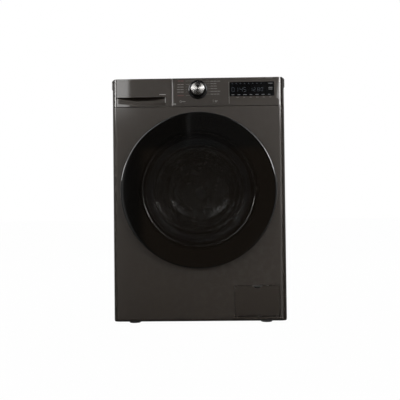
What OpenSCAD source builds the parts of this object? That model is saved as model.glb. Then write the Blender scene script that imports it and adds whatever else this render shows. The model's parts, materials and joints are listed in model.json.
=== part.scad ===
// Front load washing machine: sheet-steel cabinet, hung tub and drum, glass door, detergent drawer.
// Millimetres. +X right, the front faces -Y, +Z up, origin at the bottom centre of the overall box.

/* [Cabinet] */
// Overall width, over the worktop
width = 600; // [560:1:720]
// Height from the floor to the top of the worktop
height = 850; // [830:1:1000]
// Depth of the cabinet from the front panel to the back panel
body_depth = 565; // [540:1:680]
// Thickness of the worktop
worktop_t = 35; // [25:1:42]
// How far the worktop stands out past each side panel
worktop_lip = 1.5; // [1:0.5:4]
// Corner radius of the worktop seen from the front
worktop_r = 12; // [6:1:16]
// Steel sheet thickness
sheet_t = 1.2; // [0.8:0.1:2]
// Radius of the upright front edges
corner_r = 20; // [12:1:24]
// Gap between the cabinet's underside and the floor
floor_gap = 10; // [8:1:16]
// Width of the joint lines between panels
seam = 0.8; // [0.5:0.1:1.5]

/* [Control panel] */
// Height of the control panel
panel_h = 99; // [94:1:120]
// Wall of the plastic mouldings
wall = 2.5; // [2:0.1:3.5]
// Width of the detergent drawer's front
drawer_w = 208; // [190:1:230]
// How far the drawer pulls out
drawer_travel = 240; // [160:5:250]
// Radius of the black ring under the dial
bezel_r = 33; // [30:0.5:36]
// Radius of the dial
dial_r = 25.5; // [22:0.5:27]
// How far the dial stands out of the panel
dial_proud = 28; // [20:1:36]
// Width of the display window
lens_w = 154; // [120:1:165]
// Height of the display window
lens_h = 49; // [40:1:56]

/* [Door] */
// Height of the door's, tub's and drum's axis above the floor
axis_z = 460; // [450:1:480]
// Diameter of the door
door_d = 530; // [500:1:540]
// How far the door stands out of the front panel
door_proud = 48; // [44:1:60]
// Thickness of the tinted outer cover
cover_t = 4.5; // [3:0.1:6]
// Radius of the hole in the front panel
mouth_r = 172; // [166:1:180]
// Largest radius of the glass bowl behind its flange
bowl_r = 150; // [140:1:152]
// Wall of the glass bowl
bowl_t = 5; // [4:0.1:7]

/* [Tub and drum] */
// Outer diameter of the drum
drum_d = 490; // [460:1:500]
// Length of the drum
drum_len = 325; // [280:1:335]
// Gap between drum and tub wall
tub_gap = 27; // [20:1:27]
// Wall of the plastic tub
tub_t = 5; // [4:0.1:7]
// How far the hung tub can move up or down
tub_travel = 12; // [6:1:12]
// Radius of the drum shaft
shaft_r = 15; // [12:0.5:18]
// Radius of the motor's rotor
rotor_r = 145; // [120:1:150]

/* [Access cover and feet] */
// Width of the filter access cover
access_w = 153; // [120:1:165]
// Height of the filter access cover
access_h = 103; // [90:1:110]
// Centre of the filter access cover, right of the middle
access_x = 196.5; // [180:0.5:200]
// Radius of a foot's pad
foot_r = 20; // [16:1:24]
// How far a foot screws down
foot_travel = 15; // [5:1:20]

/* [Back] */
// How far the water valve's threaded spigot stands out of the back panel
valve_proud = 14; // [12:1:20]
// Radius over the thread of the water valve's spigot
spigot_r = 13.2; // [13:0.1:13.5]
// Radius of the drain hose outlet
outlet_r = 11; // [9:0.5:13]
// Radius of the hole in the mains cord gland
gland_r = 5; // [4:0.1:6]

/* [Hidden] */
$fn = 96;

// Overall places
total_depth = body_depth + door_proud + valve_proud;
y_front = -total_depth / 2 + door_proud;
y_back = y_front + body_depth;
side_x = width / 2 - worktop_lip;
top_z = height - worktop_t;
panel_z = height - panel_h;
return_d = corner_r + 8;
ledge_d = 12;
gap = 0.3;
slip = 0.1;
base_h = 45;
base_top = floor_gap + base_h;
metal = "#3b3632";
dark = "#141312";
rubber = "#55585c";
steel = "#b9bcc0";
plastic = "#d9d9d4";

// Control panel places
drawer_x0 = -side_x;
drawer_x1 = drawer_x0 + drawer_w;
dial_z = panel_z + 57;
dial_x = 0;
lens_x = 186;
button_z = panel_z + 16;
button_x = 57;
button_w = 34;
button_h = 14;
button_travel = 1.5;
grip_x0 = drawer_x0 + 18;
grip_x1 = drawer_x1 - 23;
grip_z = panel_z + 36;
tray_w = grip_x1 - grip_x0 + 10;
tray_x = (grip_x0 + grip_x1) / 2;
tray_y0 = y_front + return_d + 1;
tray_len = drawer_travel + 50;
tray_z0 = panel_z + 9;
tray_h = 44;
housing_y1 = tray_y0 + tray_len + 12;
crossbar_y = y_front + return_d + 5;

// Door places
door_r = door_d / 2;
door_y = y_front - door_proud;
hinge_x = -door_r + 15;
hinge_y = door_y + 17.5;
hinge_z = 52;
pin_r = 3;
latch_x = mouth_r + 32;
latch_y = y_front - 10;
latch_pin_r = 2;
frame_r = door_r - 27;

// Tub and drum places
tub_r = drum_d / 2 + tub_gap;
drum_y1 = y_front + 105;
drum_y2 = drum_y1 + drum_len;
tub_y1 = drum_y1 - 30;
tub_y2 = drum_y2 + 50;
tub_split = tub_y1 + 190;
tub_mouth_r = mouth_r;
drum_mouth_r = mouth_r + 3;
weight_t = 36;
rib_r = tub_r + 9;
rotor_y = tub_y2 + 8;
rotor_depth = 40;
hub_r = 38;
sump_w = 220;
sump_d = 25;
sump_z = axis_z - tub_r - sump_d;
heater_x = 35;
heater_r = 4.2;
damper_x = 160;
damper_ys = [tub_y1 + 170, tub_y2 - 60];
damper_r = 17;
rod_r = 10;
spring_x = side_x - 48;
spring_y = housing_y1 + 26;
spring_r = 13;
spring_top = panel_z - 8;
ear_z = axis_z + sqrt(tub_r * tub_r - pow(spring_x - 12, 2)) + 22;

// Pump places
pump_x = access_x - 18;
pump_z = floor_gap + 68;
pump_r = 37;
pump_y0 = y_front + 22;
pump_y1 = pump_y0 + 125;
filter_r = 30;
hose_x = 80;
hose_y = tub_y1 + 75;
access_z = floor_gap + 17;
cover_gap = 0.7;
cover_gap_low = 1.6;
access_axis_y = y_front + 5;
access_axis_z = access_z + 4;
access_pin_r = 1.4;
outlet_x = access_x + 45;
outlet_z = floor_gap + 82;
foot_xs = [-side_x + 68, side_x - 68];
foot_ys = [y_front + 50, y_back - 50];
stud_r = 5;

stud_top = floor_gap + foot_travel + 9;
boss_h = foot_travel + 11;

// Places of the board, the hoses and the back's fittings
board_y0 = y_front + wall + 4;
board_y1 = y_front + return_d - 3;
outlet_neck = 12;
dispenser_hose_y = housing_y1 - 40;
dispenser_floor = tray_z0 - 2 - wall;
tub_port_z = axis_z + sqrt(tub_r * tub_r - pow(tray_x + 24, 2)) + 6;
valve_x = tray_x;
valve_z = top_z - 40;
valve_pitch = 25;
gland_x = side_x - 43.5;
gland_z = axis_z + 180;
rear_hole_r = 200;
bolt_xs = [-190, 190];
bolt_zs = [axis_z - 215, axis_z + 185];
bolt_hole_r = 14;

// ---- helpers ----
// A cylinder along +Y from y0 to y1
module rod_y(x, z, r, y0, y1) {
  translate([x, y0, z]) rotate([-90, 0, 0]) cylinder(h = y1 - y0, r = r);
}

// A tube along +Y
module tube_y(x, z, r_out, r_in, y0, y1) {
  difference() {
    rod_y(x, z, r_out, y0, y1);
    rod_y(x, z, r_in, y0 - 1, y1 + 1);
  }
}

// A turned shape about the drum's axis: points are [radius, y]
module turned(points) {
  translate([0, 0, axis_z]) rotate([-90, 0, 0]) rotate_extrude($fn = 128) polygon(points);
}

// A flat plate parallel to the front, from y0 to y1, of the outline (x, z) given by its child
module front_plate(y0, y1) {
  translate([0, y1, 0]) rotate([90, 0, 0]) linear_extrude(y1 - y0) children();
}

module box(x0, x1, y0, y1, z0, z1) {
  translate([x0, y0, z0]) cube([x1 - x0, y1 - y0, z1 - z0]);
}

// A rectangle with four round corners
module round_rect(x0, x1, z0, z1, r) {
  union() {
    translate([x0 + r, z0]) square([x1 - x0 - 2 * r, z1 - z0]);
    translate([x0, z0 + r]) square([x1 - x0, z1 - z0 - 2 * r]);
    for (x = [x0 + r, x1 - r], z = [z0 + r, z1 - r]) translate([x, z]) circle(r, $fn = 48);
  }
}

// Plan outline of the cabinet's front edge: round front corners, open towards the back
module plan_front(inset, depth) {
  r = corner_r - inset;
  union() {
    translate([-side_x + corner_r, y_front + inset]) square([2 * (side_x - corner_r), depth - inset]);
    translate([-side_x + inset, y_front + corner_r]) square([2 * (side_x - inset), depth - corner_r]);
    for (s = [-1, 1]) translate([s * (side_x - corner_r), y_front + corner_r]) intersection() {
      circle(r, $fn = 96);
      translate([s > 0 ? 0 : -r, -r]) square(r);
    }
  }
}

// A sheet that follows the front edge
module plan_shell(t, depth) {
  difference() {
    plan_front(0, depth);
    plan_front(t, depth + 1);
  }
}

// ---- cabinet ----
module base_tray() {
  inset = sheet_t + gap;
  depth = body_depth - inset;
  color(dark) difference() {
    union() {
      difference() {
        translate([0, 0, floor_gap]) linear_extrude(base_h) plan_front(inset, depth);
        translate([0, 0, floor_gap + 4]) linear_extrude(base_h) plan_front(inset + 3, depth - 3);
      }
      for (fx = foot_xs, fy = foot_ys)
        translate([fx, fy, floor_gap]) cylinder(h = boss_h, r = 18);
      for (s = [-1, 1], y = damper_ys)
        box(s * damper_x - 20, s * damper_x + 20, y - 20, y + 20, floor_gap + 1, floor_gap + 8);
    }
    for (fx = foot_xs, fy = foot_ys)
      translate([fx, fy, floor_gap - 1]) cylinder(h = boss_h + 14, r = stud_r + slip);
    // room for the access cover and the filter behind it
    box(access_x - access_w / 2 - 3, access_x + access_w / 2 + 3, y_front, y_front + 14, floor_gap + 8,
      base_top + 1);
  }
  // lugs that hold the access cover's hinge pins
  color(dark) for (s = [-1, 1]) {
    x0 = access_x + s * (access_w / 2 - 7) - 2.5;
    difference() {
      union() {
        translate([x0, access_axis_y, access_axis_z]) rotate([0, 90, 0]) cylinder(h = 5, r = 2.3);
        box(x0, x0 + 5, access_axis_y, access_axis_y + 13, access_axis_z - 2.2, access_axis_z + 2.2);
        box(x0, x0 + 5, access_axis_y + 8, access_axis_y + 13, floor_gap + 3, access_axis_z + 2.2);
      }
      translate([x0 - 1, access_axis_y, access_axis_z]) rotate([0, 90, 0])
        cylinder(h = 7, r = access_pin_r + slip / 2);
    }
  }
}

module side_panel(s) {
  flange = 16;
  x0 = side_x - sheet_t;
  y0 = y_front + return_d + seam;
  far = y_back - sheet_t - gap;
  color(metal) mirror([s > 0 ? 0 : 1, 0, 0]) union() {
    box(x0, side_x, y0, y_back, floor_gap, top_z - seam);
    // flanges that the front, the back and the tub's springs are fastened to
    box(side_x - flange, side_x, y0, y0 + sheet_t, base_top + 1, panel_z - 20);
    box(side_x - flange, side_x, far - sheet_t, far, base_top + 1, top_z - seam);
    box(spring_x - spring_r, side_x, spring_y - 16, spring_y + 16, spring_top, spring_top + 3);
  }
}

module side_panel_left() { side_panel(-1); }
module side_panel_right() { side_panel(1); }

module rear_panel() {
  x = side_x - sheet_t - gap;
  color(metal) difference() {
    box(-x, x, y_back - sheet_t, y_back, base_top - 35, top_z - 1);
    rod_y(0, axis_z, rear_hole_r, y_back - 9, y_back + 1);
    rod_y(valve_x, valve_z, spigot_r + 6, y_back - 9, y_back + 1);
    rod_y(outlet_x, outlet_z, outlet_r + 2, y_back - 9, y_back + 1);
    rod_y(gland_x, gland_z, gland_r + 5, y_back - 9, y_back + 1);
    for (bx = bolt_xs, bz = bolt_zs) rod_y(bx, bz, bolt_hole_r, y_back - 9, y_back + 1);
  }
}

module rear_cover() {
  color(metal) turned([
    [0, y_back + 5], [rear_hole_r - 15, y_back + 5], [rear_hole_r - 8, y_back + gap],
    [rear_hole_r + 14, y_back + gap],
    [rear_hole_r + 14, y_back + gap + sheet_t], [rear_hole_r - 7.4, y_back + gap + sheet_t],
    [rear_hole_r - 14.4, y_back + 5 + sheet_t], [0, y_back + 5 + sheet_t]
  ]);
}

module top_cover() {
  y0 = y_front + ledge_d + seam;
  color(metal) difference() {
    front_plate(y0, y_back) intersection() {
      round_rect(-width / 2, width / 2, top_z - worktop_r, height, worktop_r);
      translate([-width / 2, top_z]) square([width, worktop_t]);
    }
    box(-side_x + 3, side_x - 3, y0 + 3, y_back - 3, top_z - 1, height - 4);
  }
}

module front_panel() {
  z1 = panel_z - seam;
  color(metal) difference() {
    union() {
      translate([0, 0, floor_gap]) linear_extrude(z1 - floor_gap) plan_shell(sheet_t, return_d);
      tube_y(0, axis_z, mouth_r + sheet_t, mouth_r, y_front, y_front + 10);
    }
    rod_y(0, axis_z, mouth_r, y_front - 1, y_front + 12);
    box(latch_x - 9, latch_x + 9, y_front - 1, y_front + 3, axis_z - 16, axis_z + 16);
    box(access_x - access_w / 2 - cover_gap, access_x + access_w / 2 + cover_gap, y_front - 1, y_front + 3,
      access_z - cover_gap_low, access_z + access_h + cover_gap);
  }
}

module control_panel() {
  z1 = height - 1.5;
  color(metal) difference() {
    union() {
      // face and right-hand return
      intersection() {
        translate([0, 0, panel_z]) linear_extrude(z1 - panel_z) plan_shell(wall, return_d);
        box(drawer_x1 + seam, width, y_front - 1, y_front + return_d + 1, panel_z, height);
      }
      // top and bottom ledges
      intersection() {
        union() {
          translate([0, 0, z1 - wall]) linear_extrude(wall) plan_front(0, corner_r + 1);
          translate([0, 0, panel_z]) linear_extrude(wall) plan_front(0, return_d);
        }
        box(drawer_x1 + seam, width, y_front - 1, y_front + return_d + 1, panel_z, height);
      }
      // divider beside the drawer and plate behind it
      box(drawer_x1 + seam, drawer_x1 + seam + wall, y_front + 1, y_front + return_d + 4, panel_z,
        top_z - seam);
      box(-side_x + 2, drawer_x1 + seam + wall, y_front + return_d + 1, y_front + return_d + 4, panel_z,
        top_z - seam);
    }
    // the worktop's space
    box(-width, width, y_front + ledge_d, y_front + 60, top_z - seam, height + 1);
    // dial, display, buttons and drawer openings
    rod_y(dial_x, dial_z, dial_r + 1, y_front - 1, y_front + 5);
    front_plate(y_front - 1, y_front + 5)
      round_rect(lens_x - lens_w / 2 - slip, lens_x + lens_w / 2 + slip, dial_z - lens_h / 2 - slip,
        dial_z + lens_h / 2 + slip, 3);
    for (s = [-1, 1])
      box(s * button_x - button_w / 2 - gap, s * button_x + button_w / 2 + gap, y_front - 1, y_front + 5,
        button_z - button_h / 2 - gap, button_z + button_h / 2 + gap);
    box(tray_x - tray_w / 2 - 4, tray_x + tray_w / 2 + 4, y_front + return_d, y_front + return_d + 9,
      tray_z0 - 4, tray_z0 + tray_h + 3);
  }
}

module front_crossbar() {
  x = side_x - sheet_t - 1;
  color(steel) difference() {
    box(-x, x, crossbar_y, crossbar_y + sheet_t, panel_z - 16, top_z - 1);
    box(tray_x - tray_w / 2 - 8, tray_x + tray_w / 2 + 8, crossbar_y - 1, crossbar_y + 5, tray_z0 - 8,
      top_z + 1);
  }
}

module control_board() {
  color(dark) difference() {
    box(drawer_x1 + 14, side_x - 14, board_y0, board_y1, panel_z + 6, top_z - 4);
    rod_y(dial_x, dial_z, 4 + slip, board_y0 - 1, board_y1 + 1);
  }
}

module display_lens() {
  color("black") front_plate(y_front - 0.3, y_front + 1.8)
    round_rect(lens_x - lens_w / 2, lens_x + lens_w / 2, dial_z - lens_h / 2, dial_z + lens_h / 2, 2.9);
}

module dial_bezel() {
  color("black") tube_y(dial_x, dial_z, bezel_r, dial_r + 2, y_front - 5, y_front);
}

module dial_knob() {
  color(steel) union() {
    rod_y(dial_x, dial_z, dial_r, y_front - dial_proud, y_front - 1);
    rod_y(dial_x, dial_z, 4, y_front - 2, board_y1 - 4);
  }
}

module button(s) {
  color(metal) union() {
    box(s * button_x - button_w / 2, s * button_x + button_w / 2, y_front - 0.4, y_front + wall,
      button_z - button_h / 2, button_z + button_h / 2);
    rod_y(s * button_x, button_z, 2, y_front + wall - 1, board_y0 - button_travel - gap);
  }
}

module power_button() { button(-1); }
module start_button() { button(1); }

module dispenser_housing() {
  x0 = tray_x - tray_w / 2 - 2 - wall;
  x1 = tray_x + tray_w / 2 + 2 + wall;
  z0 = dispenser_floor;
  color(plastic) difference() {
    union() {
      box(x0, x1, crossbar_y - 0.5, housing_y1, z0, top_z - 3);
      for (s = [-1, 1]) rod_y(tray_x + s * valve_pitch, valve_z, 8, housing_y1 - 1, housing_y1 + 10);
      translate([tray_x, dispenser_hose_y, z0 - outlet_neck]) cylinder(h = outlet_neck + 2, r = 19);
    }
    box(x0 + wall, x1 - wall, crossbar_y - 3, housing_y1 - wall, z0 + wall, top_z - 3 - wall);
    for (s = [-1, 1]) rod_y(tray_x + s * valve_pitch, valve_z, 5, housing_y1 - 9, housing_y1 + 12);
    translate([tray_x, dispenser_hose_y, z0 - outlet_neck - 1]) cylinder(h = outlet_neck + 6, r = 15);
  }
}

module drawer_front() {
  z0 = panel_z;
  z1 = height - 1.5;
  depth = 22;
  color(metal) difference() {
    intersection() {
      translate([0, 0, z0]) linear_extrude(z1 - z0) plan_front(0, return_d);
      box(-width, drawer_x1, y_front - 1, y_front + return_d, z0, z1);
    }
    // hollow behind the face, above the grip
    box(drawer_x0 + 4, drawer_x1 - 3, y_front + 3, y_front + return_d - 3, grip_z + 10, z1 - 3);
    // the worktop's space
    box(-width, drawer_x1 + 1, y_front + ledge_d, y_front + 60, top_z - seam, height + 1);
    // finger grip: a scoop whose face leans back towards its top
    translate([grip_x0, 0, 0]) rotate([90, 0, 90]) linear_extrude(grip_x1 - grip_x0) polygon([
      [y_front - 1, z0 + 3], [y_front + 3, z0 + 3], [y_front + depth, grip_z - 5],
      [y_front + depth, grip_z + 5],
      [y_front + 5, grip_z + 5], [y_front + 4, grip_z], [y_front - 1, grip_z]
    ]);
  }
}

module drawer_tray() {
  x0 = tray_x - tray_w / 2;
  x1 = tray_x + tray_w / 2;
  y1 = tray_y0 + tray_len;
  mid = tray_x + 18;
  color(plastic) difference() {
    box(x0, x1, tray_y0 - 1, y1, tray_z0, tray_z0 + tray_h);
    box(x0 + wall, mid - wall / 2, tray_y0 + 12, y1 - wall, tray_z0 + wall, tray_z0 + tray_h + 1);
    box(mid + wall / 2, x1 - wall, tray_y0 + 12, tray_y0 + 110, tray_z0 + wall, tray_z0 + tray_h + 1);
    box(mid + wall / 2, x1 - wall, tray_y0 + 110 + wall, y1 - wall, tray_z0 + wall, tray_z0 + tray_h + 1);
  }
}

module softener_cap() {
  mid = tray_x + 18;
  color("#3f74b8") difference() {
    box(mid + wall / 2 + gap, tray_x + tray_w / 2 - wall - gap, tray_y0 + 12 + gap, tray_y0 + 110 - gap,
      tray_z0 + tray_h - 10, tray_z0 + tray_h - 1);
    translate([mid + 28, tray_y0 + 80, tray_z0]) cylinder(h = 100, r = 9);
  }
}

// ---- water paths ----
module inlet_valve() {
  y0 = y_back - 60;
  color(plastic) difference() {
    union() {
      box(valve_x - 40, valve_x + 40, y0 + 12, y_back - sheet_t - gap, valve_z - 18, valve_z + 22);
      for (s = [-1, 1]) rod_y(valve_x + s * valve_pitch, valve_z, 8, y0, y0 + 13);
      for (s = [-1, 1])
        translate([valve_x + s * valve_pitch, y0 + 30, valve_z - 45]) cylinder(h = 30, r = 14);
      rod_y(valve_x, valve_z, spigot_r, y_back - 10, y_back + valve_proud);
    }
    rod_y(valve_x, valve_z, 8.5, y_back - 20, y_back + valve_proud + 1);
  }
}

module inlet_hoses() {
  color(rubber) for (s = [-1, 1])
    tube_y(tray_x + s * valve_pitch, valve_z, 11, 8, housing_y1 + 1, y_back - 60 + 10);
}

module bellows(x, y, z0, z1, r) {
  rings = 3;
  pitch = (z1 - z0) / (rings * 2 + 1);
  translate([x, y, z0]) difference() {
    union() {
      cylinder(h = z1 - z0, r = r);
      for (i = [0:rings - 1]) translate([0, 0, pitch * (2 * i + 1)]) cylinder(h = pitch, r = r + 4);
    }
    translate([0, 0, -1]) cylinder(h = z1 - z0 + 2, r = r - 3);
  }
}

module dispenser_hose() {
  color(rubber) bellows(tray_x, dispenser_hose_y, tub_port_z + gap, dispenser_floor - outlet_neck - gap, 19);
}

module tub_drain_hose() {
  color(rubber) bellows(hose_x, hose_y, pump_z + 25 + gap, sump_z - 8 - gap, 17);
}

module drain_pump() {
  color(dark) difference() {
    union() {
      rod_y(pump_x, pump_z, pump_r, pump_y0, pump_y1);
      rod_y(pump_x, pump_z, pump_r - 9, pump_y1 - 1, pump_y1 + 60);
      box(pump_x - 20, pump_x + 20, pump_y0 + 10, pump_y1, floor_gap + 9, pump_z);
      translate([hose_x, hose_y, pump_z]) rotate([0, 90, 0]) cylinder(h = pump_x - hose_x, r = 12);
      translate([hose_x, hose_y, pump_z - 12]) cylinder(h = 37, r = 17);
      translate([pump_x, pump_y1 - 18, outlet_z]) rotate([0, 90, 0])
        cylinder(h = outlet_x - pump_x, r = outlet_r);
      rod_y(outlet_x, outlet_z, outlet_r + 3, pump_y1 - 30, pump_y1);
    }
    rod_y(pump_x, pump_z, filter_r + slip, pump_y0 - 1, pump_y1 - 8);
    translate([hose_x, hose_y, pump_z]) cylinder(h = 40, r = 13);
    rod_y(outlet_x, outlet_z, outlet_r, pump_y1 - 20, pump_y1 + 1);
  }
}

module pump_impeller() {
  y0 = pump_y1 - 28;
  color(plastic) union() {
    rod_y(pump_x, pump_z, 6, y0, pump_y1 - 9);
    for (a = [0:60:179]) translate([pump_x, y0, pump_z]) rotate([0, a, 0])
      translate([-18, 2, -1]) cube([36, 14, 2]);
  }
}

module drain_filter() {
  y1 = pump_y1 - 32;
  color(dark) union() {
    difference() {
      rod_y(pump_x, pump_z, filter_r, pump_y0 - 4, y1);
      rod_y(pump_x, pump_z, filter_r - 4, pump_y0 + 12, y1 + 1);
      for (z = [-9, 9]) box(pump_x - 50, pump_x + 50, pump_y0 + 22, y1 - 8, pump_z + z - 5, pump_z + z + 5);
    }
    box(pump_x - 24, pump_x + 24, pump_y0 - 14, pump_y0 - 3, pump_z - 5, pump_z + 5);
  }
}

module drain_pipe() {
  color(rubber) difference() {
    rod_y(outlet_x, outlet_z, outlet_r, pump_y1 - 19, y_back + valve_proud - 2);
    rod_y(outlet_x, outlet_z, outlet_r - 2.5, pump_y1 - 20, y_back + valve_proud);
  }
}

// ---- door furniture on the cabinet ----
module door_lock() {
  color(dark) difference() {
    box(latch_x - 16, latch_x + 20, y_front + sheet_t + gap, y_front + 34, axis_z - 48, axis_z + 48);
    box(latch_x - 12, latch_x + 12, y_front, y_front + 26, axis_z - 14, axis_z + 14);
  }
}

module door_hinge_bracket() {
  color(steel) union() {
    for (s = [-1, 1]) {
      arm_z = axis_z + s * hinge_z;
      box(hinge_x - 4.5, hinge_x + 20, hinge_y - 4.5, hinge_y + 4.5, arm_z - 4, arm_z + 4);
      box(hinge_x + 11, hinge_x + 20, hinge_y, y_front, arm_z - 4, arm_z + 4);
      translate([hinge_x, hinge_y, arm_z - 12]) cylinder(h = 24, r = pin_r);
    }
    box(hinge_x - 4, hinge_x + 26, y_front - 4, y_front, axis_z - hinge_z - 14, axis_z + hinge_z + 14);
  }
}

module gasket() {
  y0 = y_front - 3;
  y1 = tub_y1 - 6;
  color(rubber) turned([
    [bowl_r + 8, y0], [mouth_r + 6, y0], [mouth_r + 6, y_front - gap], [mouth_r - gap, y_front - gap],
    [mouth_r - gap, y_front + 14], [mouth_r + 8, y_front + 24], [mouth_r + 8, y1 - 12],
    [tub_mouth_r + 2, y1], [tub_mouth_r - 4, y1], [mouth_r + 4, y1 - 13], [mouth_r + 4, y_front + 26],
    [mouth_r - 5, y_front + 20],
    [bowl_r + 3, y_front + 22], [bowl_r + 3, y_front + 16], [mouth_r - 8, y_front + 10]
  ]);
}

module gasket_clamp() {
  y = y_front + 12;
  color(steel) turned([[mouth_r + sheet_t + 1, y - 2], [mouth_r + sheet_t + 4, y - 2],
    [mouth_r + sheet_t + 4, y + 1], [mouth_r + sheet_t + 1, y + 1]]);
}

module suspension_springs() {
  color(steel) for (s = [-1, 1]) translate([s * spring_x, spring_y, 0]) difference() {
    translate([0, 0, ear_z + gap]) cylinder(h = spring_top - ear_z - 2 * gap, r = spring_r);
    translate([0, 0, ear_z - 1]) cylinder(h = spring_top - ear_z + 2, r = spring_r - 3);
  }
}

module damper_cylinders() {
  color(dark) for (s = [-1, 1], y = damper_ys) translate([s * damper_x, y, floor_gap + 8]) difference() {
    cylinder(h = 110, r = damper_r);
    translate([0, 0, 6]) cylinder(h = 110, r = rod_r + slip);
  }
}

module damper_rods() {
  z0 = floor_gap + 8 + 6 + tub_travel + 8;
  z1 = axis_z - sqrt(tub_r * tub_r - pow(damper_x - rod_r, 2)) - 1;
  color(steel) for (s = [-1, 1], y = damper_ys) translate([s * damper_x, y, z0])
    cylinder(h = z1 - z0, r = rod_r);
}

module transit_bolt_caps() {
  color(dark) for (bx = bolt_xs, bz = bolt_zs) union() {
    rod_y(bx, bz, bolt_hole_r - 0.2, y_back - 12, y_back + 1);
    rod_y(bx, bz, bolt_hole_r + 7, y_back + gap, y_back + 3.5);
  }
}

module cord_gland() {
  color(dark) difference() {
    union() {
      rod_y(gland_x, gland_z, gland_r + 4.8, y_back - 8, y_back + 1);
      rod_y(gland_x, gland_z, gland_r + 9, y_back + gap, y_back + 6);
    }
    rod_y(gland_x, gland_z, gland_r, y_back - 9, y_back + 7);
  }
}

module cabinet_screws() {
  color(steel) {
    for (s = [-1, 1], z = [base_top + 20, axis_z - 120, axis_z + 110, top_z - 60])
      rod_y(s * (side_x - 9), z, 4, y_back + gap, y_back + 2.6);
    for (a = [30:60:359])
      rod_y((rear_hole_r + 6) * cos(a), axis_z + (rear_hole_r + 6) * sin(a), 4,
        y_back + gap + sheet_t, y_back + 4);
  }
}

// ---- tub ----
module tub_wall(y0, y1) {
  tube_y(0, axis_z, tub_r, tub_r - tub_t, y0, y1);
}

module tub_front() {
  color("#c9ccd0") difference() {
    union() {
      tub_wall(tub_y1, tub_split);
      tube_y(0, axis_z, tub_r - 1, tub_mouth_r, tub_y1, tub_y1 + tub_t);
      tube_y(0, axis_z, tub_mouth_r + 5, tub_mouth_r, tub_y1 - 6, tub_y1 + 1);
      tube_y(0, axis_z, rib_r, tub_r - 1, tub_split - 9, tub_split);
      // sump under the tub
      difference() {
        box(-sump_w / 2, sump_w / 2, tub_y1 + 40, tub_split, sump_z, axis_z - tub_r + 60);
        rod_y(0, axis_z, tub_r - 1, tub_y1 + 1, tub_split + 1);
      }
      translate([hose_x, hose_y, sump_z - 8]) cylinder(h = 12, r = 17);
    }
    box(-sump_w / 2 + 5, sump_w / 2 - 5, tub_y1 + 45, tub_split + 1, sump_z + 5, axis_z - tub_r + 40);
    translate([hose_x, hose_y, sump_z - 9]) cylinder(h = 20, r = 13);
    for (s = [-1, 1]) rod_y(s * heater_x, sump_z + 18, heater_r + slip, tub_y1 + 39, tub_y1 + 46);
  }
}

module tub_rear() {
  color("#c9ccd0") difference() {
    union() {
      tub_wall(tub_split + 4, tub_y2);
      tube_y(0, axis_z, tub_r - 1, hub_r - 1, tub_y2 - tub_t, tub_y2);
      tube_y(0, axis_z, hub_r, 26, tub_y2 - 30, tub_y2 + 8);
      tube_y(0, axis_z, rib_r, tub_r - 1, tub_split + 4, tub_split + 13);
      difference() {
        box(-sump_w / 2, sump_w / 2, tub_split + 4, tub_split + 110, sump_z, axis_z - tub_r + 60);
        rod_y(0, axis_z, tub_r - 1, tub_split, tub_y2);
      }
      for (s = [-1, 1]) box(s * spring_x - 12, s * spring_x + 12, spring_y - 12, spring_y + 12,
        axis_z + sqrt(tub_r * tub_r - pow(spring_x - 12, 2)) - 45, ear_z);
      translate([tray_x, dispenser_hose_y, tub_port_z - 45]) cylinder(h = 45, r = 19);
    }
    rod_y(0, axis_z, tub_r - tub_t, tub_split + 3, tub_y2 - tub_t);
    box(-sump_w / 2 + 5, sump_w / 2 - 5, tub_split + 3, tub_split + 105, sump_z + 5, axis_z - tub_r + 40);
    translate([tray_x, dispenser_hose_y, tub_port_z - 90]) cylinder(h = 100, r = 15);
  }
}

module tub_seal() {
  color("black") tube_y(0, axis_z, tub_r + 2, tub_r - 3, tub_split + slip, tub_split + 4 - slip);
}

module tub_screws() {
  color(steel) for (a = [15:30:359]) if (abs(a - 270) > 20)
    rod_y((tub_r + 5.5) * cos(a), axis_z + (tub_r + 5.5) * sin(a), 2.2, tub_split - 12,
      tub_split - 9 - slip);
}

module counterweights() {
  y0 = tub_y1 - weight_t - 2;
  color("#8d8d88") intersection() {
    tube_y(0, axis_z, tub_r - 14, mouth_r + 34, y0, tub_y1 - 1);
    union() {
      box(-width, width, y0 - 1, tub_y1, axis_z + 55, axis_z + width);
      box(-width, width, y0 - 1, tub_y1, axis_z - width, axis_z - 55);
    }
  }
}

module heater() {
  z = sump_z + 18;
  y0 = tub_y1 + 34;
  y1 = tub_split + 60;
  color(steel) union() {
    box(-heater_x - 12, heater_x + 12, y0, tub_y1 + 40 - gap, z - 6, z + 6);
    for (s = [-1, 1]) rod_y(s * heater_x, z, heater_r, y0, y1);
    translate([0, y1, z]) rotate_extrude(angle = 180) translate([heater_x, 0]) circle(heater_r);
  }
}

module stator() {
  color("#b87333") union() {
    tube_y(0, axis_z, rotor_r - 12, rotor_r - 40, tub_y2 + 9, tub_y2 + 9 + 24);
    for (a = [0:60:359]) translate([0, 0, axis_z]) rotate([0, a, 0])
      translate([hub_r + 4, tub_y2 + gap, -8]) cube([rotor_r - 40 - hub_r, 9, 16]);
  }
}

module bearings() {
  color(steel) for (y = [tub_y2 - 28, tub_y2 - 8])
    tube_y(0, axis_z, 26, shaft_r + 0.02, y, y + 14);
}

// ---- drum ----
module drum_shell() {
  r = drum_d / 2;
  color(steel) union() {
    turned([
      [drum_mouth_r, drum_y1], [r - 14, drum_y1], [r, drum_y1 + 14], [r, drum_y2],
      [shaft_r + 8, drum_y2], [shaft_r + 8, drum_y2 - sheet_t], [r - sheet_t, drum_y2 - sheet_t],
      [r - sheet_t, drum_y1 + 14.5], [r - 14.5, drum_y1 + sheet_t], [drum_mouth_r, drum_y1 + sheet_t]
    ]);
    tube_y(0, axis_z, drum_mouth_r + sheet_t, drum_mouth_r, drum_y1, drum_y1 + 14);
  }
}

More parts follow.
